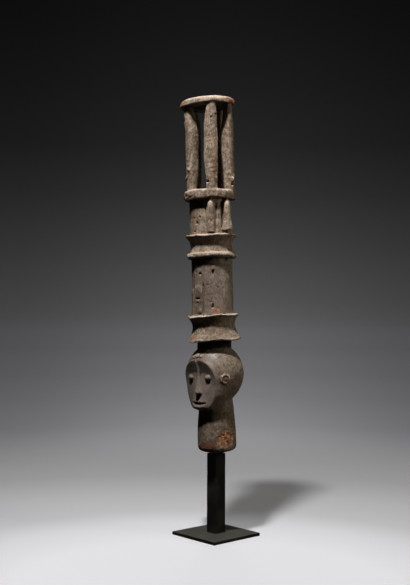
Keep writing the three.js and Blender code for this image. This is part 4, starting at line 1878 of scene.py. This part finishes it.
    def build(self, finish: bpy.types.Material) -> bpy.types.Object:
        """Builds, wears, thins and dresses the carving.

        Args:
            finish: The wood.

        Returns:
            The piece, in metres, at the origin.
        """
        piece = self.fuse(make_mesh("forms", self.skins()))
        mesh = piece.data
        points, normals = read_points(mesh), read_normals(mesh)
        near = Neighbours(mesh)
        convex = np.einsum("ij,ij->i", points - near.blur(points, 10), normals)
        write_points(mesh, self.weather.wear(points, normals, convex))
        self.thin(piece)
        mesh = piece.data
        mesh.name = "crest_mask"
        self.note_surface(mesh)
        write_points(mesh, self.stance.stand(read_points(mesh)))
        mesh.polygons.foreach_set("use_smooth", np.ones(len(mesh.polygons), bool))
        mesh.materials.clear()
        mesh.materials.append(finish)
        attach(piece, "root")
        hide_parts("crest_carving")
        LOG.info("crest_mask: %d faces", len(mesh.polygons))
        return piece


@dataclass(frozen=True)
class Lamp:
    """A round studio lamp that looks at a point, from an azimuth and a height angle in degrees."""

    name: str
    azimuth: float
    height: float
    distance: float
    size: float
    power: float
    colour: Colour
    mirrored: bool = True
    target: Place = (0.0, 0.0, 0.45)

    def place(self) -> None:
        """Makes the lamp and turns it to its target."""
        turn, rise = math.radians(self.azimuth), math.radians(self.height)
        away = Vector((math.sin(turn) * math.cos(rise), -math.cos(turn) * math.cos(rise), math.sin(rise)))
        data = bpy.data.lights.new(self.name, "AREA")
        data.shape = "DISK"
        data.size = self.size
        data.energy = self.power
        data.color = self.colour
        lamp = bpy.data.objects.new(self.name, data)
        lamp.location = Vector(self.target) + away * self.distance
        lamp.rotation_mode = "QUATERNION"
        lamp.rotation_quaternion = away.to_track_quat("Z", "Y")
        lamp.visible_camera = False
        lamp.visible_glossy = self.mirrored
        bpy.context.scene.collection.objects.link(lamp)


@dataclass(frozen=True)
class Studio:
    """The floor, the backdrop, the lamps and the camera, in metres."""

    floor_radius: float = 31.0
    floor_middle: float = 0.3
    floor_columns: int = 96
    camera_azimuth: float = math.radians(47.27)
    camera_distance: float = 1.8619
    camera_height: float = 0.433
    camera_turn: float = math.radians(0.707)
    camera_pitch: float = math.radians(1.155)
    camera_roll: float = math.radians(0.211)
    focal_pixels: float = 955.15
    picture_height: int = 585
    sensor: float = 36.0
    dome_radius: float = 30.0
    dome_foot: float = -0.03
    dome_columns: int = 64
    dome_rows: int = 40
    lamps: tuple[Lamp, ...] = (
        Lamp("key", azimuth=27.0, height=65.0, distance=1.5, size=0.14, power=25.0,
             colour=(1.0, 0.985, 0.965)),
        Lamp("fill", azimuth=117.0, height=20.0, distance=2.6, size=0.9, power=10.5,
             colour=(1.0, 0.93, 0.78)),
        Lamp("back", azimuth=228.0, height=14.0, distance=2.6, size=1.4, power=18.0,
             colour=(1.0, 0.98, 0.95), mirrored=False),
    )
    ambient: float = 0.0012

    def make_floor(self) -> None:
        """A level round floor with the object's stand on it. It lights nothing itself."""
        count = self.floor_columns
        angle = np.linspace(0, 2 * math.pi, count, endpoint=False)
        rings = [
            grid(radius * np.cos(angle), radius * np.sin(angle), 0.0)
            for radius in (self.floor_middle, self.floor_radius)
        ]
        index = np.arange(count)
        following = np.roll(index, -1)
        quads = np.stack([index, index + count, following + count, following], axis=-1)
        mesh = make_mesh("floor", [Skin(np.vstack(rings), [quads, index[None, :]])])
        mesh.materials.append(StudioFloor().make())
        floor = bpy.data.objects.new("floor", mesh)
        bpy.context.scene.collection.objects.link(floor)
        floor.visible_diffuse = False
        floor.visible_glossy = False

    def make_backdrop(self) -> None:
        """A dome far round the object, in rows of height and columns of angle.

        The camera sees it and glossy finishes mirror it. It casts no diffuse light and no shadow.
        """
        angle = np.linspace(0, 2 * math.pi, self.dome_columns, endpoint=False)[None, :]
        rise = np.linspace(self.dome_foot, math.pi / 2 - 0.01, self.dome_rows)[:, None]
        level = np.cos(rise)
        points = self.dome_radius * grid(level * np.cos(angle), level * np.sin(angle), np.sin(rise))
        mesh = make_mesh("backdrop", [Skin.over(points)])
        mesh.materials.append(StudioBackdrop().make())
        dome = bpy.data.objects.new("backdrop", mesh)
        bpy.context.scene.collection.objects.link(dome)
        dome.visible_diffuse = False
        dome.visible_shadow = False

    def make_world(self) -> None:
        """A faint even light from everywhere."""
        world = bpy.data.worlds.new("studio")
        bpy.context.scene.world = world
        tree = Tree(world)
        sockets = {"Color": (1.0, 1.0, 1.0, 1.0), "Strength": self.ambient}
        shade = tree.node("ShaderNodeBackground", {}, sockets)
        tree.node("ShaderNodeOutputWorld", {}, {"Surface": shade.outputs[0]})

    def make_camera(self) -> None:
        """The camera, from its fitted place and its small turn, pitch and roll."""
        yaw, pitch, roll = self.camera_azimuth + self.camera_turn, self.camera_pitch, self.camera_roll
        ahead = Vector((-math.sin(yaw) * math.cos(pitch), math.cos(yaw) * math.cos(pitch), math.sin(pitch)))
        level = Vector((math.cos(yaw), math.sin(yaw), 0.0))
        right = math.cos(roll) * level + math.sin(roll) * level.cross(ahead)
        up = right.cross(ahead)
        data = bpy.data.cameras.new("camera")
        data.sensor_width = self.sensor
        data.lens = self.focal_pixels * self.sensor / self.picture_height
        camera = bpy.data.objects.new("camera", data)
        camera.matrix_world = Matrix((right, up, -ahead)).transposed().to_4x4()
        camera.location = (
            self.camera_distance * math.sin(self.camera_azimuth),
            -self.camera_distance * math.cos(self.camera_azimuth),
            self.camera_height,
        )
        bpy.context.scene.collection.objects.link(camera)
        bpy.context.scene.camera = camera

    def build(self) -> None:
        """Sets the studio."""
        self.make_floor()
        self.make_backdrop()
        self.make_world()
        self.make_camera()
        for lamp in self.lamps:
            lamp.place()
        bpy.context.scene.view_settings.view_transform = "Standard"


def dress_stand() -> None:
    """Gives the stand's two solids their metal."""
    metal = BlackBronze().make()
    for name in ("stand_plate", "stand_post"):
        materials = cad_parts[name].data.materials
        materials.clear()
        materials.append(metal)
        LOG.info("%s: dressed", name)


def main() -> None:
    """Builds the studio and the pieces in order."""
    logging.basicConfig(level=logging.INFO, format="%(message)s")
    Studio().build()
    Carving().build(OldWood().make())
    dress_stand()


if __name__ == "__main__":
    main()
